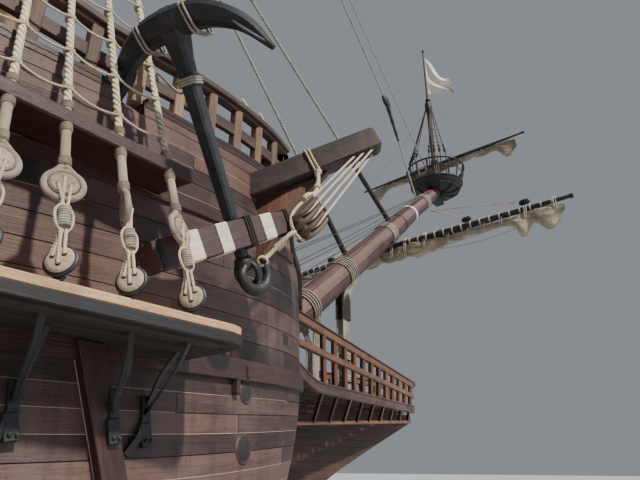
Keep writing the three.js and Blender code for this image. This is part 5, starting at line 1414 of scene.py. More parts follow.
def yard(name):
    x, mast_r, z, half, radius, bunt = YARDS[name]
    outer = (mast_r + 0.0008) / math.cos(math.pi / 12) + PARREL
    yard_x = x + outer + radius - 0.05
    body = f"{name}_yard"
    shape = Shape()
    a, b = V(yard_x, -half, z), V(yard_x, half, z)
    round_spar(shape, a, b, [(s, k * radius) for s, k in YARD_TAPER], 18, step=0.6)
    for s in (-1, 1):
        hoop(shape, V(yard_x, s * (half - 0.06), z), (0, 1, 0), radius * 0.42, 1, 0.09, 0.02)
        shape.lathe([(0, 0.05), (0.04, radius * 0.9), (0.1, radius * 0.9), (0.14, 0.05)],
            V(yard_x, s * (half * 0.62) - 0.07, z), (0, 1, 0), 14, 1)
        hoop(shape, V(yard_x, s * half * 0.3, z), (0, 1, 0), radius * 0.96, 1, 0.07)
    inner = outer - PARREL + 0.012
    for k in (-1, 0, 1):
        for i in range(12):
            ang = 2 * math.pi * (i + 0.5 * (k == 0)) / 12
            at = V(x + math.cos(ang) * (inner + 0.03), math.sin(ang) * (inner + 0.03), z + 0.1 * k)
            shape.ball(at, (V(0.028, 0, 0), V(0, 0.028, 0), V(0, 0, 0.04)), 1, 1, rings=4, sides=8)
    shape.make(f"{name}_yard_spar", [BLACK_SPAR, BLACK_IRON], "black_spar", body, [f"{name}_yard"])
    sail_x = yard_x + (0.9 if name == "main" else 0.6) * bunt
    lobes = ((0.95, 0.4, 0.6), (0.05, 0.42, 0.75), (0.2, 0.3, 0.15)) if name == "sprit_topsail" else ()
    ropes = furled(f"{name}_sail_bundle", V(sail_x, -half * 0.9, z - 0.75 * bunt),
        V(sail_x, half * 0.9, z - 0.75 * bunt), bunt, V(0, 0, -1), V(1, 0, 0), body, f"{name}_sail",
        sum(map(ord, name)) % 17, lobes, room=radius)
    if name != "sprit_topsail":
        head = {"fore": 25.0, "main": 27.4, "fore_topsail": 33.6, "main_topsail": 36.2}[name]
        for s in (-1, 1):
            ropes.tube(even([V(x + 0.1, 0.12 * s, head), V(yard_x, s * (half - 0.1), z + 0.06)], 0.8),
                0.022, 6)
            ropes.tube(sagging(V(yard_x, s * (half - 0.2), z - 0.06), V(yard_x, 0.3 * s, z - 0.1),
                    0.5 * bunt + 0.2), 0.018, 6)
    else:
        for s in (-1, 1):
            ropes.tube(even([V(x + 0.03, 0.08 * s, 20.4), V(yard_x, s * (half - 0.1), z + 0.05)], 0.8),
                0.012, 5)
    ropes.make(f"{name}_yard_ropes", [PALE_LINE], "tarred_rope", body)


def spritsail():
    at = on_bowsprit(24) - V(-SPRIT_SLOPE, 0, 1).normalized() * 0.64
    shape = Shape()
    round_spar(shape, at + V(0, -7.1, 0), at + V(0, 7.1, 0), [(s, k * 0.16) for s, k in YARD_TAPER], 18,
        step=0.6)
    for s in (-1, 1):
        hoop(shape, at + V(0, 7.04 * s, 0), (0, 1, 0), 0.067, 1, 0.09, 0.02)
        hoop(shape, at + V(0, 2.2 * s, 0), (0, 1, 0), 0.155, 1, 0.08)
        hoop(shape, at + V(0, 0.5 * s, 0), (0, 1, 0), 0.16, 1, 0.14)
    for y in (-5.5, -3.3, 3.3, 5.5):
        shape.ball(at + V(-0.02, y, 0.27), (V(0.07, 0, 0), V(0, 0.2, 0), V(0, 0, 0.11)), 0.8, 1)
    shape.make("spritsail_yard_spar", [BLACK_SPAR, BLACK_TIMBER], "black_spar", "spritsail_yard",
        ["spritsail_yard"])
    a, b = at + V(0.05, -6.75, -0.27), at + V(0.05, 6.75, -0.27)
    ropes = furled("spritsail_bundle", a, b, 0.26, V(0, 0, -1), V(1, 0, 0), "spritsail_yard",
        "spritsail_sail", 4, ((0.035, 0.4, 0.55), (0.105, 0.26, 0.6), (0.38, 0.7, 0.2), (0.5, 0.5, 0.12),
            (0.62, 0.7, 0.22), (0.9, 0.26, 0.6), (0.965, 0.4, 0.55)), 0.8, 0.3,
        [(0, 0.35), (0.03, 0.75), (0.13, 0.75), (0.17, 0.5), (0.33, 0.6), (0.42, 1), (0.58, 1), (0.67, 0.6),
            (0.83, 0.5), (0.87, 0.75), (0.97, 0.75), (1, 0.35)])
    for s in (-1, 1):
        for y in (5.5, 3.3):
            ropes.tube(even([at + V(-0.02, y * s, 0.1), at + V(-0.02, y * s, 0.27),
                        at + V(3.2, 0.25 * s, 2.9)], 0.6), 0.018, 6)
            ropes.tube(even([at + V(-0.02, (y + 0.15) * s, 0.3), at + V(3.1, 0.3 * s, 2.78)], 0.6), 0.014,
                6)
        ropes.tube(sagging(at + V(0.1, 6.2 * s, -0.3), at + V(0.1, 2.0 * s, -0.55), 0.25), 0.016, 6)
        ropes.tube(sagging(at + V(0.12, 5.6 * s, -0.2), at + V(0.1, 0.8 * s, -0.45), 0.12), 0.016, 6)
        for k in range(16):
            y = (0.9 + 0.37 * k) * s
            ropes.tube(ring_path(at + V(0, y, 0), (0, 1, 0), 0.16 * read_off(YARD_TAPER, (y + 7.1) / 14.2)
                    + 0.014, 14, 2, 0.03), 0.014, 6)
    ropes.make("spritsail_ropes", [PALE_LINE], "tarred_rope", "spritsail_yard")


def lateen():
    z, radius, bunt = 17.5, 0.15, 0.3
    mast_r = 0.27 - 0.15 * (17.2 - 8.2) / 19
    outer = (mast_r + 0.0008) / math.cos(math.pi / 12) + PARREL
    y = -(outer + radius - 0.05)
    along, off_way = V(-0.66, 0, 0.751), V(-0.75, 0, -0.66)
    shape = Shape()

    def at(s, off=0.0):
        return V(MIZZEN_X, y, z) + along * s + off_way * off

    round_spar(shape, at(-6.4), at(11.6), [(0, 0.09), (0.35, 0.15), (0.5, 0.15), (1, 0.052)], 18, step=0.6)
    for s in (-2.4, 0.4, 3.2):
        woolding(shape, at(s), along, 0.15, 6, 0.016)
    for k in (-1, 0, 1):
        for i in range(12):
            ang = 2 * math.pi * i / 12
            r = outer - PARREL + 0.04
            shape.ball(V(MIZZEN_X + math.cos(ang) * r, math.sin(ang) * r, z + 0.1 * k),
                (V(0.028, 0, 0), V(0, 0.028, 0), V(0, 0, 0.04)), 1, 1, rings=4, sides=8)
    shape.make("mizzen_yard_spar", [BLACK_SPAR, BLACK_IRON], "black_spar", "mizzen_yard", ["mizzen_yard"])
    ropes = furled("mizzen_sail_bundle", at(-5.6, 0.24), at(10.6, 0.24), bunt, off_way.normalized(),
        V(0, -1, 0), "mizzen_yard", "mizzen_sail", 11, room=0.15)
    ropes.make("mizzen_yard_ropes", [PALE_LINE], "tarred_rope", "mizzen_yard")


CROWN, RING, SHANK, REACH, BACK = V(9.8, -5.8, 7.65), V(11.66, -5.36, 4.96), 3.3, 1.28, 0.74
DOWN = (RING - CROWN).normalized()
SIDE = V(0.24, -0.97, 0.01)
SIDE = (SIDE - DOWN * SIDE.dot(DOWN)).normalized()
ACROSS = DOWN.cross(SIDE)


def anchor_at(along, out, aside=0.0):
    return CROWN + DOWN * along + SIDE * out + ACROSS * aside


def anchor():
    shape, rope = Shape(), Shape()
    rows = []
    for i in range(25):
        t = i / 24
        w = read_off([(0, 0.21), (0.09, 0.145), (0.18, 0.108), (1, 0.074)], t)
        rows.append([anchor_at(mix(-0.05, SHANK, t), x, y) for x, y in chamfered(w, w, w * 0.32)])
    shape.loft(rows)
    arms = [(-0.06, 0.02, 0.38), (0.3, 0.04, 0.33), (0.56, 0.21, 0.28), (0.8, 0.52, 0.19), (1, 1, 0.06)]
    for s in (-1, 1):
        path = curve([V(out, back, size) for out, back, size in arms], 0.035)
        rings = []
        for k, p in enumerate(path):
            before, after = path[max(0, k - 1)], path[min(len(path) - 1, k + 1)]
            heading = ((SIDE * (after.x - before.x) * REACH * s)
                + (DOWN * (after.y - before.y) * BACK)).normalized()
            flat = ACROSS.cross(heading)
            h = p.z * 0.5
            base = anchor_at(p.y * BACK, p.x * REACH * s)
            rings.append([base + ACROSS * a + flat * b for a, b in chamfered(h, h * 1.02, h * 0.42)])
        shape.loft(rings)
        palm = [(0.54, -0.2), (0.66, -0.21), (0.86, -0.1), (0.98, -0.02), (0.98, 0.02), (0.86, 0.1),
            (0.66, 0.21), (0.54, 0.2)]
        tail, tip = anchor_at(0.46 * BACK, 0.7 * REACH * s), anchor_at(0.97 * BACK, 0.97 * REACH * s)
        way = (tip - tail).normalized()
        face = ACROSS.cross(way) * s
        shape.slab([tail + way * ((u - 0.54) * 1.15) + ACROSS * v for u, v in palm], face, 0.05, 0.015)
    shape.ball(anchor_at(0.02, 0), (SIDE * 0.26, ACROSS * 0.2, DOWN * 0.18), 0.75)
    shape.bar([anchor_at(0.66, 0), anchor_at(0.71, 0)], 0.23, 0.23, ACROSS, bevel=0.03)
    shape.tube(ring_path(anchor_at(SHANK + 0.12, 0), ACROSS, 0.17, 40), 0.035, 12, rope=False)
    shape.ball(anchor_at(SHANK - 0.02, 0), (SIDE * 0.13, ACROSS * 0.13, DOWN * 0.12), 0.8)
    shape.pair("anchor_iron", [BLACK_IRON], "black_iron", ["anchor"])
    for along, out, size in ((0.08, 0.35, 0.2), (0.1, -0.42, 0.19)):
        for k in (-1, 1):
            loop = [anchor_at(along - 0.01 + size * b, out + 0.03 * k + 0.05 * b, size * a)
                for a, b in ((-1, -0.6), (-0.7, -1.02), (0.7, -1.02), (1, -0.7), (1.02, 0.6), (0.7, 1.0),
                    (-0.7, 1.0), (-1, 0.7), (-1, -0.6))]
            rope.tube(curve(loop, 0.04), 0.016, 7)
    for k in range(3):
        loop = [anchor_at(0.74 + 0.034 * k, 0.12 * a, 0.12 * b) for a, b in closed(chamfered(1, 1, 0.2))]
        rope.tube(curve(loop, 0.04), 0.017, 7)
    rope.tube(curve([anchor_at(0.78, -0.08, -0.13), anchor_at(0.82, -0.3, -0.14), V(10.15, -5.0, 7.5),
                V(10.25, -4.85, 7.5)], 0.05), 0.02, 8)
    rope.pair("anchor_lashings", [GREY_ROPE], "tarred_rope")


STOCK_HALF = [(-1.4, 0.18), (-0.7, 0.19), (-0.1, 0.195), (0.1, 0.193), (0.7, 0.168), (1.4, 0.14)]


def stock():
    middle, along = anchor_at(SHANK - 0.42, 0), V(0.868, -0.09, 0.488).normalized()
    up = along.cross(V(0, -1, 0)).normalized()
    out = up.cross(along).normalized()
    shape, band, rope, iron = Shape(), Shape(), Shape(), Shape()
    for side in (-1, 1):
        shape.bar([middle + along * s + out * (0.099 * side) for s in (-1.4, -0.7, -0.1, 0.1, 0.7, 1.4)],
            0.19, [2 * read_off(STOCK_HALF, s) for s in (-1.4, -0.7, -0.1, 0.1, 0.7, 1.4)], up, slot=0,
            tone=0.15 * side, bevel=0.014)
    def hoop_round(target, s, wide, lift, slot=0, strands=0):
        half, wide_half = read_off(STOCK_HALF, s) + lift, 0.194 + lift
        if strands:
            for k in range(strands):
                loop = [middle + along * (s + 0.04 * k) + up * (half * b) + out * (wide_half * a)
                    for a, b in closed(chamfered(1, 1, 0.15))]
                target.tube(curve(loop, 0.05), 0.014, 6)
            return
        rings = []
        for ds, grow in ((-wide / 2, -0.02), (-wide / 2, 0), (wide / 2, 0), (wide / 2, -0.02)):
            h, w, c = half + grow, wide_half + grow, 0.02
            rings.append([middle + along * (s + ds) + out * x + up * z for x, z in chamfered(w, h, c)])
        target.loft(rings, slot, smooth=False)
    for s in (-0.82, -0.34, 0.46):
        hoop_round(band, s, 0.19 + 0.02 * (s > 0), 0.01)
    for s, strands in ((0.08, 3), (0.85, 2)):
        hoop_round(rope, s, 0, 0.012, strands=strands)
    for s in (-1.3, 1.34):
        hoop_round(iron, s, 0.05, 0.01)
    shape.pair("anchor_stock_timber", [STOCK_WOOD], "anchor_stock_timber", ["anchor_stock"])
    band.pair("anchor_stock_bands", [BANDS], "canvas")
    rope.pair("anchor_stock_seizings", [TARRED_ROPE], "tarred_rope")
    iron.pair("anchor_stock_hoops", [BLACK_IRON], "black_iron")


HEAD = {"top": ((15.5, -2.72, 5.58), (24.55, -0.38, 5.17)), "middle": ((15.6, -2.66, 4.98),
        (24.5, -0.38, 4.75)), "wale": ((15.9, -2.45, 4.2), (24.45, -0.37, 4.28)),
    "low": ((16.2, -1.75, 3.3), (24.3, -0.33, 3.86))}


def head_rails():
    shape = Shape()

    def line(name, t):
        sweep = 0.34 * clamp(1 - t / 0.13) ** 1.4 - 0.1 * (1 - t) if name == "wale" else 0
        return V(*HEAD[name][0]).lerp(V(*HEAD[name][1]), t) + UP * sweep

    def path(name):
        return [line(name, (k / 24) ** 1.6) for k in range(25)]

    shape.bar([p - UP * 0.04 for p in path("top")], 0.14, 0.2, tone=0.6, bevel=0.02)
    shape.bar([p + UP * 0.065 for p in path("top")], 0.2, 0.035, slot=1, bevel=0.01)
    shape.bar(path("middle"), 0.13, 0.16, tone=0.5, bevel=0.02)
    shape.bar(path("wale"), 0.15, 0.24, slot=2, tone=0.1, bevel=0.02)
    shape.bar([p + UP * 0.12 for p in path("wale")], 0.19, 0.05, slot=2, tone=0.1, bevel=0.015)
    shape.bar(path("low"), 0.11, 0.1, tone=0.5, bevel=0.02)
    for k in range(12):
        t = 0.165 + 0.0725 * k
        shape.bar([line("top", t) - UP * 0.12, line("wale", t) + UP * 0.1], 0.12, 0.13, V(1, 0, 0),
            bevel=0.015)
    for k in range(9):
        t = 0.15 + 0.0985 * k
        foot = line("low", t + 0.022)
        shape.bar([line("wale", t) - UP * 0.1, foot], 0.1, 0.04, V(1, 0, 0), slot=1, bevel=0.01)
        shape.bar([line("wale", t) + V(0, -0.055, -0.1), foot - V(0, 0.055, 0)], 0.02, 0.044, V(1, 0, 0),
            slot=3, bevel=0.005)
    for k in (0, 1):
        shape.ball(line("top", 0.995 * k + 0.0), (V(0.1, 0, 0), V(0, 0.12, 0), V(0, 0, 0.09)), 0.8)
    shape.pair("head_rail_work", [RAIL_WOOD, MOULDING, PLANKS, POST_WOOD], "rail_timber", ["head_rails"])


def head_platform():
    shape = Shape()
    y = -2.0
    while y < 2.05:
        reach = 24.2 - max(0.0, (abs(y) - 0.15) / 1.95 * 8)
        if reach > 16.6 and abs(y) > 0.05:
            shape.bar([V(16.25, y, 4.16), V(reach, y, 4.16)], 0.1, 0.05, bevel=0.008)
        y += 0.145
    for k in range(11):
        x = 16.6 + 0.72 * k
        half = 2.12 - (x - 16.2) * 1.95 / 8
        for s in (-1, 1):
            shape.bar([V(x, 0.21 * s, 4.25), V(x, half * s, 4.25)], 0.12, 0.12, slot=1)
    # The grating's slats take the underboard material, darkened as painted shade.
    shape.make("head_grating", [UNDERBOARDS_PAINTED_SHADE, MOULDING], "rail_timber", replaces=["head_platform"])


def gallery():
    floor_z, rail_z, half, aft, fore = 6.9, 7.95, 3.3, -20.75, -19.3
    shape = Shape()
    x = aft + 0.07
    while x < fore:
        shape.bar([V(x, -half, floor_z - 0.03), V(x, half, floor_z - 0.03)], 0.13, 0.06, slot=1, bevel=0.01)
        x += 0.142
    shape.bar([V(aft, -half, floor_z - 0.12), V(aft, half, floor_z - 0.12)], 0.1, 0.2, bevel=0.03)
    for s in (-1, 1):
        shape.bar([V(aft, half * s, floor_z - 0.12), V(fore, half * s, floor_z - 0.12)], 0.1, 0.2,
            bevel=0.03)
    for y in (-2.7, -0.9, 0.9, 2.7):
        shape.slab([V(aft + 0.1, y - 0.09, floor_z - 0.2), V(-19.2, y - 0.09, floor_z - 0.2),
                V(-18.95, y - 0.09, floor_z - 1.35), V(-19.4, y - 0.09, floor_z - 0.95),
                V(-19.9, y - 0.09, floor_z - 0.5)], V(0, 1, 0), 0.18, 0.03)
    corners = [V(fore, -half + 0.08, 0), V(aft + 0.08, -half + 0.08, 0), V(aft + 0.08, half - 0.08, 0),
        V(fore, half - 0.08, 0)]
    for a, b in zip(corners, corners[1:]):
        shape.bar([a + UP * (rail_z + 0.045), b + UP * (rail_z + 0.045)], 0.2, 0.09, bevel=0.03)
        shape.bar([a + UP * (rail_z - 0.04), b + UP * (rail_z - 0.04)], 0.12, 0.08, bevel=0.02)
        n = round((b - a).length / 0.235)
        for k in range(n + 1):
            p = a.lerp(b, k / n)
            if k in (0, n) or k % 7 == 0:
                shape.bar([p + UP * floor_z, p + UP * rail_z], 0.12, 0.12, V(1, 0, 0))
            else:
                shape.lathe([(0, 0.05), (0.08, 0.05), (0.12, 0.028), (0.4, 0.055), (0.55, 0.035),
                        (0.85, 0.028), (0.92, 0.045), (1.0, 0.045)], p + UP * floor_z, UP, 10)
    shape.make("stern_gallery_work", [RAIL_WOOD, CHANNEL_WOOD], "rail_timber", replaces=["stern_gallery"])


def transom_point(y, z, out):
    """Point on the raked transom, at a distance aft of it."""
    return V(STERN_X + rake(STERN_X, z), y, z) + V(-1, 0, -0.27 if z > 2.5 else 0.12).normalized() * out


def transom():
    """Planks, windows, mouldings and a plain arcade across the stern."""
    planks, trim, panes = Shape(), Shape(), Shape()
    z = 2.62
    while z < 12.3:
        top = min(z + 0.25, 12.45)
        mid = (z + top) / 2
        half = half_breadth(STERN_X, mid)
        profile = ((z, 0.0), (z + 0.01, 0.03), (top - 0.01, 0.03), (top, 0.0))
        planks.loft([[transom_point(y, zz, out) for zz, out in profile] for y in (-half, 0, half)],
            closed=False, caps=False)
        z += 0.252
    for level, deep, proud in ((2.7, 0.3, 0.14), (5.6, 0.22, 0.12), (8.62, 0.24, 0.14), (10.75, 0.22, 0.12),
        (12.3, 0.2, 0.06)):
        half = half_breadth(STERN_X, level) + 0.05
        path = [transom_point(mix(-half, half, i / 10), level, proud / 2) for i in range(11)]
        trim.bar(path, proud, deep, bevel=0.03)
        trim.bar([p + UP * deep * 0.5 + V(-proud * 0.3, 0, 0) for p in path], proud * 0.8, 0.06, bevel=0.02)
    for y in (-3.0, 3.0):
        trim.bar([transom_point(y * 1.08, zz, 0.06) for zz in (2.9, 5.6, 8.6, 12.2)], 0.2, 0.14, V(1, 0, 0),
            bevel=0.03)
    for y in (-2.35, -1.4, -0.47, 0.47, 1.4, 2.35):
        window(trim, panes, y, 7.35, 0.34, 0.52)
        window(trim, panes, y, 9.65, 0.32, 0.5)
    window(trim, panes, -1.6, 4.3, 0.32, 0.36)
    window(trim, panes, 1.6, 4.3, 0.32, 0.36)
    planks.make("transom_planks", [PLANKS], "hull_planks")
    trim.make("transom_trim", [RAIL_WOOD, MOULDING], "rail_timber")
    panes.make("stern_windows", [GLASS], "dark_timber")


def window(trim, panes, y, z, half, tall):
    corners = [transom_point(y + a * half, z + b * tall, 0.045) for a, b in ((-1, -1), (1, -1), (1, 0.6),
            (0.55, 0.95), (0, 1.08), (-0.55, 0.95), (-1, 0.6))]
    panes.slab(corners, V(-1, 0, -0.27), 0.012, 0.003)
    loop = [*corners, corners[0]]
    for a, b in zip(loop, loop[1:]):
        trim.bar([a + V(-0.02, 0, 0), b + V(-0.02, 0, 0)], 0.09, 0.08, V(-1, 0, -0.27))
    for b in (-0.45, 0.1, 0.62):
        trim.bar([transom_point(y - half, z + b * tall, 0.062), transom_point(y + half, z + b * tall,
                    0.062)], 0.028, 0.02, V(-1, 0, -0.27), bevel=0.004)
    for a in (-0.34, 0.34):
        trim.bar([transom_point(y + a * half, z - tall, 0.062), transom_point(y + a * half, z + tall * 0.95,
                    0.062)], 0.028, 0.02, V(-1, 0, -0.27), bevel=0.004)
    trim.bar([transom_point(y - half - 0.08, z - tall - 0.05, 0.07), transom_point(y + half + 0.08,
                z - tall - 0.05, 0.07)], 0.14, 0.08)


def lantern():
    frame_work, panes = Shape(), Shape()
    at = V(-20.85, 0, 12)
    frame_work.lathe([(0.0, 0.09), (0.5, 0.05), (0.9, 0.06), (1.22, 0.09), (1.3, 0.2), (1.36, 0.26),
            (1.44, 0.27)], at, UP, 20)
    frame_work.lathe([(2.26, 0.4), (2.3, 0.42), (2.4, 0.38), (2.55, 0.28), (2.68, 0.16), (2.78, 0.09),
            (2.9, 0.035), (3.0, 0.05), (3.05, 0.01)], at, UP, 20)
    panes.lathe([(1.42, 0.24), (2.28, 0.375)], at, UP, 8, smooth=False)
    for k in range(8):
        a = 2 * math.pi * k / 8
        spoke = around(a)
        frame_work.bar([at + UP * 1.42 + spoke * 0.255, at + UP * 2.3 + spoke * 0.395], 0.035, 0.03, spoke,
            bevel=0.006)
    for z, r in ((1.7, 0.305), (2.0, 0.35)):
        frame_work.tube(ring_path(at + UP * z, UP, r, 24), 0.012, 6, rope=False)
    frame_work.make("stern_lantern_frame", [BRASS], "lantern_brass", replaces=["stern_lantern"])
    panes.make("stern_lantern_panes", [GLASS], "lantern_brass")


def capstan():
    shape = Shape()
    at = V(-6.5, 0, 6.312)
    shape.lathe([(0, 0.3), (0, 0.6), (0.09, 0.62), (0.12, 0.58), (0.14, 0.3)], at, UP, 28)
    shape.lathe([(0.1, 0.3), (0.3, 0.24), (0.8, 0.24), (0.9, 0.3)], at, UP, 20)
    for k in range(6):
        a = 2 * math.pi * k / 6
        spoke = around(a)
        shape.bar([at + UP * 0.13 + spoke * 0.4, at + UP * 0.4 + spoke * 0.3, at + UP * 0.72 + spoke * 0.31,
                at + UP * 0.86 + spoke * 0.4], 0.1, [0.16, 0.14, 0.14, 0.16], spoke, bevel=0.02)
    shape.lathe([(0.86, 0.3), (0.86, 0.48), (0.9, 0.5), (1.04, 0.5), (1.08, 0.48), (1.1, 0.3),
            (1.125, 0.12), (1.125, 0.02)], at, UP, 28, 1)
    for k in range(8):
        a = 2 * math.pi * (k + 0.5) / 8
        spoke = around(a)
        shape.bar([at + UP * 0.97 + spoke * 0.47, at + UP * 0.97 + spoke * 0.503], 0.1, 0.1, slot=2,
            bevel=0.004)
    shape.make("capstan_barrel", [MOULDING, CHANNEL_WOOD, BLACK_IRON], "dark_timber", "capstan",
        ["capstan"])


def lids():
    for i, x in enumerate(LIDS, 1):
        face = half_breadth(x, 2.6)
        frame_shape = Shape()
        for a, b in (((x - 0.52, 2.14), (x + 0.52, 2.14)), ((x - 0.54, 3.12), (x + 0.54, 3.12)),
            ((x - 0.54, 2.14), (x - 0.54, 3.12)), ((x + 0.54, 2.14), (x + 0.54, 3.12))):
            frame_shape.bar([V(a[0], -face - 0.035, a[1]), V(b[0], -face - 0.035, b[1])], 0.12, 0.16,
                V(0, -1, 0), bevel=0.02)
        frame_shape.pair(f"gunport_frame_{i}", [MOULDING], "dark_timber")
        lid = Shape()
        for k in range(4):
            z = 2.22 + 0.192 * k
            lid.bar([V(x - 0.4, -face + 0.06, z + 0.09), V(x + 0.4, -face + 0.06, z + 0.09)], 0.08, 0.18,
                bevel=0.01)
        for dx in (-0.24, 0.24):
            lid.bar([V(x + dx, -face + 0.01, 2.26), V(x + dx, -face + 0.01, 2.86)], 0.07, 0.025,
                V(0, -1, 0), slot=1, bevel=0.006)
        lid.tube(ring_path(V(x, -face - 0.025, 2.4), (0.3, 0, 1), 0.05, 14), 0.01, 6, 1, rope=False)
        lid.tube([V(x - 0.42, -face + 0.06, 2.95), V(x + 0.42, -face + 0.06, 2.95)], 0.028, 10, 1,
            rope=False)
        for shape, side in ((lid, "starboard"), (lid.mirrored(), "port")):
            shape.make(f"gunport_lid_boards_{side}_{i}", [PLANKS, BLACK_IRON], "dark_timber",
                f"gunport_lid_{side}_{i}", [f"gunport_lid_{side}_{i}"])


def deck_fittings():
    """Gratings, ladders, doors, pin rails and bitts."""
    wood, dark = Shape(), Shape()
    for x0, x1, half, z in ((0.4, 2.4, 0.95, 4.35), (6.4, 7.6, 0.7, 7.0)):
        for a, b in ((V(x0, -half, z), V(x1, -half, z)), (V(x0, half, z), V(x1, half, z)),
            (V(x0, -half, z), V(x0, half, z)), (V(x1, -half, z), V(x1, half, z))):
            dark.bar([a, b], 0.14, 0.14, bevel=0.02)
        n = round((x1 - x0) / 0.14)
        for k in range(1, n):
            x = mix(x0, x1, k / n)
            wood.bar([V(x, -half, z + 0.03), V(x, half, z + 0.03)], 0.06, 0.05, bevel=0.006)
        n = round(2 * half / 0.14)
        for k in range(1, n):
            y = mix(-half, half, k / n)
            wood.bar([V(x0, y, z + 0.025), V(x1, y, z + 0.025)], 0.05, 0.05, bevel=0.006)
    for foot, head in ((V(4.1, -2.6, 4.0), V(5.3, -2.6, 6.9)), (V(-2.2, -2.4, 4.0), V(-3.3, -2.4, 6.4)),
        (V(-10.5, -2.3, 6.3), V(-11.55, -2.3, 8.8)), (V(-15.3, -2.0, 8.7), V(-16.35, -2.0, 11.0))):
        for s in (1, -1):
            a, b = V(foot.x, foot.y * s, foot.z), V(head.x, head.y * s, head.z)
            for side in (-0.32, 0.32):
                dark.bar([a + V(0, side, 0.05), b + V(0, side, 0.0)], 0.06, 0.2)
            n = round((b.z - a.z) / 0.27)
            for k in range(1, n):
                p = a.lerp(b, k / n)
                wood.bar([p - V(0, 0.3, 0), p + V(0, 0.3, 0)], 0.2, 0.035, bevel=0.006)
    for x, base, way in ((5.32, 4.0, -1), (-3.48, 4.0, 1), (-11.67, 6.3, 1), (-16.47, 8.7, 1)):
        for y in (-1.1, 1.1) if base != 8.7 else (0.0,):
            door = [V(x + 0.03 * way, y - 0.42, base + 0.05), V(x + 0.03 * way, y + 0.42, base + 0.05),
                V(x + 0.03 * way, y + 0.42, base + 1.75), V(x + 0.03 * way, y - 0.42, base + 1.75)]
            wood.slab(door, V(way, 0, 0), 0.05, 0.01)
            for a, b in ((door[0], door[3]), (door[1], door[2]), (door[3], door[2])):
                dark.bar([a + V(0.04 * way, 0, 0), b + V(0.04 * way, 0, 0)], 0.12, 0.1, V(way, 0, 0))
    for x, y, z in ((13.3, 1.2, 6.7), (13.3, -1.2, 6.7), (11.0, 1.6, 6.7), (11.0, -1.6, 6.7),
        (-0.6, 1.3, 4.0), (-0.6, -1.3, 4.0)):
        dark.bar([V(x, y, z), V(x, y, z + 0.95)], 0.2, 0.2, V(1, 0, 0), bevel=0.03)
    for x, y, z in ((13.3, 1.2, 7.4), (11.0, 1.6, 7.4), (-0.6, 1.3, 4.7)):
        dark.bar([V(x, -y - 0.25, z), V(x, y + 0.25, z)], 0.16, 0.18, bevel=0.03)
    wood.make("gratings_and_ladders", [CHANNEL_WOOD], "rail_timber")
    dark.make("coamings_and_bitts", [MOULDING], "dark_timber")


def rudder_irons():
    low, high = V(-18.2, 0, -3.35), V(-18.85, 0, 2.35)
    up = (high - low).normalized()
    aft = V(-up.z, 0, up.x)
    straps, gudgeons = Shape(), Shape()
    for h in (0.9, 2.9, 4.9):
        for s in (-1, 1):
            at = low + up * (h + 0.22) + aft * 0.3 + V(0, 0.158 * s, 0)
            straps.bar([at, at + aft * 0.6], 0.016, 0.12, up, bevel=0.004)
            at = low + up * h + V(0, 0.21 * s, 0)
            gudgeons.bar([at, at - aft * 0.5], 0.016, 0.14, up, bevel=0.004)
    straps.make("rudder_straps", [BLACK_IRON], "black_iron", "rudder")
    gudgeons.make("sternpost_straps", [BLACK_IRON], "black_iron")


def stays():
    rope, wood = Shape(), Shape()
    lines = (("fore_stay", [(9.3, 21.95), (24.5, 11.65)], 0.05), ("main_stay", [(-1.5, 23.9), (8.35, 6.5)],
            0.055), ("mizzen_stay", [(MIZZEN_X, 25.2), (-1.5, 9.4)], 0.035),
        ("fore_topmast_stay", [(9.92, 34.4), (24.56, 18.3), (26.9, 13.65)], 0.035),
        ("main_topmast_stay", [(-0.8, 36.4), (9.3, 23.7)], 0.035))
    for name, corners, radius in lines:
        shape = Shape()
        for (x0, z0), (x1, z1) in zip(corners, corners[1:]):
            shape.tube(even([V(x0, 0, z0), V(x1, 0, z1)], 0.5), radius, 10)
        shape.make(name + "_rope", [GREY_ROPE], "tarred_rope", replaces=[name])
    for name, a, b, radius in (("preventer", (9.35, 0, 22.05), (21.15, 0, 9.35), 0.045),
        ("topgallant", (10, 0, 34.9), (28.3, 0, 15.9), 0.028)):
        line = Shape()
        line.tube(even([V(*a), V(*b)], 0.5), radius, 10)
        line.make(name + "_stay_rope", [GREY_ROPE], "tarred_rope")
    for foot, head, full in ((V(21.15, 0, 9.35), V(9.35, 0, 22.05), 2.1),
        (V(24.35, 0, 11.75), V(9.3, 0, 21.95), 3.2)):
        way = (foot - head).normalized()
        rope.tube(ring_path(foot - way * full, way, 0.08, 10, round(full / 0.052), 0.05), 0.027, 6)
    for s in (-1, 1):
        for k in range(3):
            line = [V(14.72, s * (0.5 + 0.2 * k), 5.3 + 0.6 * k), V(26.3 + 0.8 * k, 0.24 * s,
                    13.6 + 0.6 * k)]
            rope.tube(sagging(*line, 0.3 - 0.1 * k, 0.5), 0.015, 6)
    at = V(24.56, 0, 18.3)
    way = (V(26.9, 0, 13.65) - at).normalized()
    wood.ball(at, (V(0.26, 0, 0), way * 0.31, V(0, 0.11, 0)), 0.85)
    wood.make("stay_heart", [BLACK_TIMBER], "dark_timber")
    for k in range(3):
        start = at + way * (0.3 + 0.9 * k * 0.6)
        rope.tube(ring_path(start, way, 0.075 - 0.012 * k, 14, 8, 0.035), 0.02, 6)
    rope.tube([at + way * 0.25, at + way * 2.0], [0.085, 0.05], 8)
    for x, z, r in ((23.9, 12.06, 0.09), (8.2, 6.77, 0.1)):
        d = V(15.2, 0, -10.3).normalized() if x > 20 else V(9.85, 0, -17.4).normalized()
        rope.tube(ring_path(V(x, 0, z), d, r, 16, 14, 0.045), 0.022, 6)
    rope.make("stay_seizings", [TARRED_ROPE], "tarred_rope")


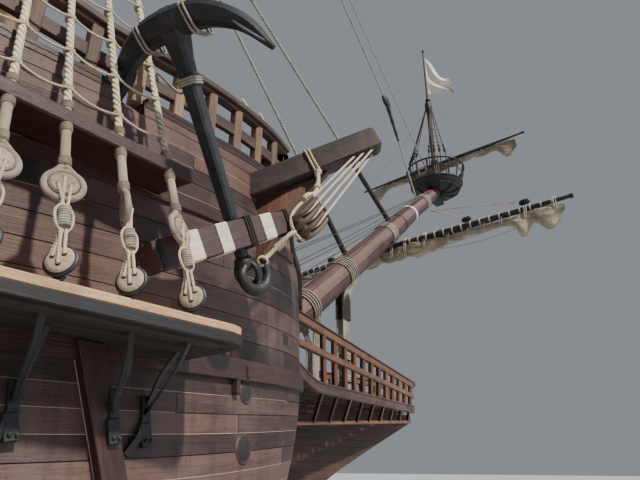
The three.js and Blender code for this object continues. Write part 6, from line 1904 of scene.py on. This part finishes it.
# Heights over the foot of the hoist of the limp flag's upper and lower edges, by share of the way out.
TOP_EDGE = [(0, 2.6), (0.12, 2.32), (0.24, 1.98), (0.37, 1.45), (0.5, 1.02), (0.62, 0.88), (0.74, 0.85),
    (0.86, 0.6), (0.94, 0.15), (1, -0.35)]
LOWER_FLAG_EDGE = [(0, 0), (0.26, -0.12), (0.54, -0.02), (0.72, -0.1), (0.9, -0.4), (1, -0.56)]


def flag():
    fly, rows, columns, hoist = 1.4, 44, 36, 2.6 * HALF
    turn_to = math.radians(-73)
    ahead, aside = V(math.cos(turn_to), math.sin(turn_to), 0), V(-math.sin(turn_to), math.cos(turn_to), 0)
    shape = Shape()
    grid = []
    for i in range(columns + 1):
        s = i / columns
        column = []
        for j in range(rows + 1):
            h = j / rows
            high, low = read_off(TOP_EDGE, s), read_off(LOWER_FLAG_EDGE, s)
            loose = clamp(2.6 * s)
            wave = 0.1 * s * math.sin(9 * s + 2 * h) + loose * 0.12 * math.sin(11 * h + 4 * s + 1)
            wave += 0.12 * loose * noise.noise(V(3 * s, 3 * h, 2))
            reach = 0.04 + fly * s + 0.04 * loose * math.sin(11 * h + 2)
            column.append(V(SPRIT_MAST_X, 0, 21.55) + ahead * reach + aside * wave + UP * mix(low, high, h))
        grid.append(column)
    shape.loft(grid, closed=False, caps=False)
    piece = shape.make("flag_cloth", [FLAG_CLOTH], "flag_cloth", replaces=["flag"], sharp=180)


bulwark_caps()
skids()
batten()
hull_openings()
bow_moulding()
for rail, xs, height_at in (("forecastle_rail", (5.5, 9.2, 10.8, 12.8, 14.5), lambda x: 8.2 + 0.2 * max(0,
            x - 9.6)), ("quarterdeck_rail", (-11.3, -7.4, -3.47), lambda x: 8.3 - 0.055 * (x + 3.47)),
    ("poop_rail", (-16.1, -14, -11.67), lambda x: 10.5 - 0.09 * (x + 11.67))):
    open_rail(rail + "_work", xs, height_at, rail)
cathead()
FORE_FEET = (10.42, 9.69, 8.99, 8.35, 7.65, 6.95)
MAIN_FEET = (-1.9, -2.8, -3.7, -4.6, -5.5, -6.4, -7.3)
MIZZEN_FEET = (-13.3, -14.2, -15.1, -16.0)
FORE_IRONS = [(10.61, 0.09, 0.09, -0.2), (9.89, 0.3, 0.2, 0),
    *((x, 0.19, 0.09, -0.15) for x in (9.01, 8.4, 7.7, 7.0))]
channel("fore_channel", 5.2, 11.3, 3.67, 0.22, 6.0, 6.0, FORE_IRONS)
near_lid = [x for x in MAIN_FEET if abs(x - 0.15 - LIDS[2]) < 0.75]
main_irons = [(x, (LIDS[2] - x + math.copysign(0.78, x - LIDS[2])) if x in near_lid else -0.15, 0.09, -0.15)
    for x in MAIN_FEET]
channel("main_channel", -9.0, -1.2, 4.05, 0.22, 6.0, 6.1, main_irons)
channel("mizzen_channel", -17.0, -12.6, 7.25, 0.18, 4.75, 5.1, [(x, -0.1, 0.09, 0) for x in MIZZEN_FEET])
shroud_gang("fore", [(x, -5.95) for x in FORE_FEET], lambda x: V(mix(8.6, 8.85, (x - 6.95) / 3.5), -0.28,
        22.2), 4.08, 9.6, 0.052)
shroud_gang("main", [(x, -6.0) for x in MAIN_FEET], lambda x: V(mix(-2.3, -1.95, (x + 7.3) / 5.4), -0.3,
        24.2), 4.47, 0, 0.058)
shroud_gang("mizzen", [(x, -4.72) for x in MIZZEN_FEET], lambda x: V(mix(-13.5, -13.25, (x + 16) / 2.7),
        -0.2, 24.4), 7.62, 0, 0.045)
for name in ("fore", "main", "mizzen"):
    lower_mast(name)
for name in ("fore", "main"):
    topmast(name)
    fighting_top(name)
bowsprit()
sprit_top()
for name in YARDS:
    yard(name)
spritsail()
lateen()
anchor()
stock()
head_rails()
coils = Shape()
for x in (12.5, 13.15):
    over = V(x, 0.1 - half_breadth(x, skyline(x)), 8.2 + 0.2 * (x - 9.6))
    for r, drop in ((0.07, -0.07), (0.1, -0.05), (0.12, -0.02)):
        coils.tube(ring_path(over - UP * drop, V(0.35, -1, 0.6), r, 18, 2, 0.035), 0.018, 6)
coils.pair("rail_coils", [CREAM_ROPE], "tarred_rope")
head_platform()
gallery()
transom()
lantern()
capstan()
lids()
deck_fittings()
rudder_irons()
stays()
flag()

low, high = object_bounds()
{"cad": [list(cad_low), list(cad_high)], "visual": [list(low), list(high)]}
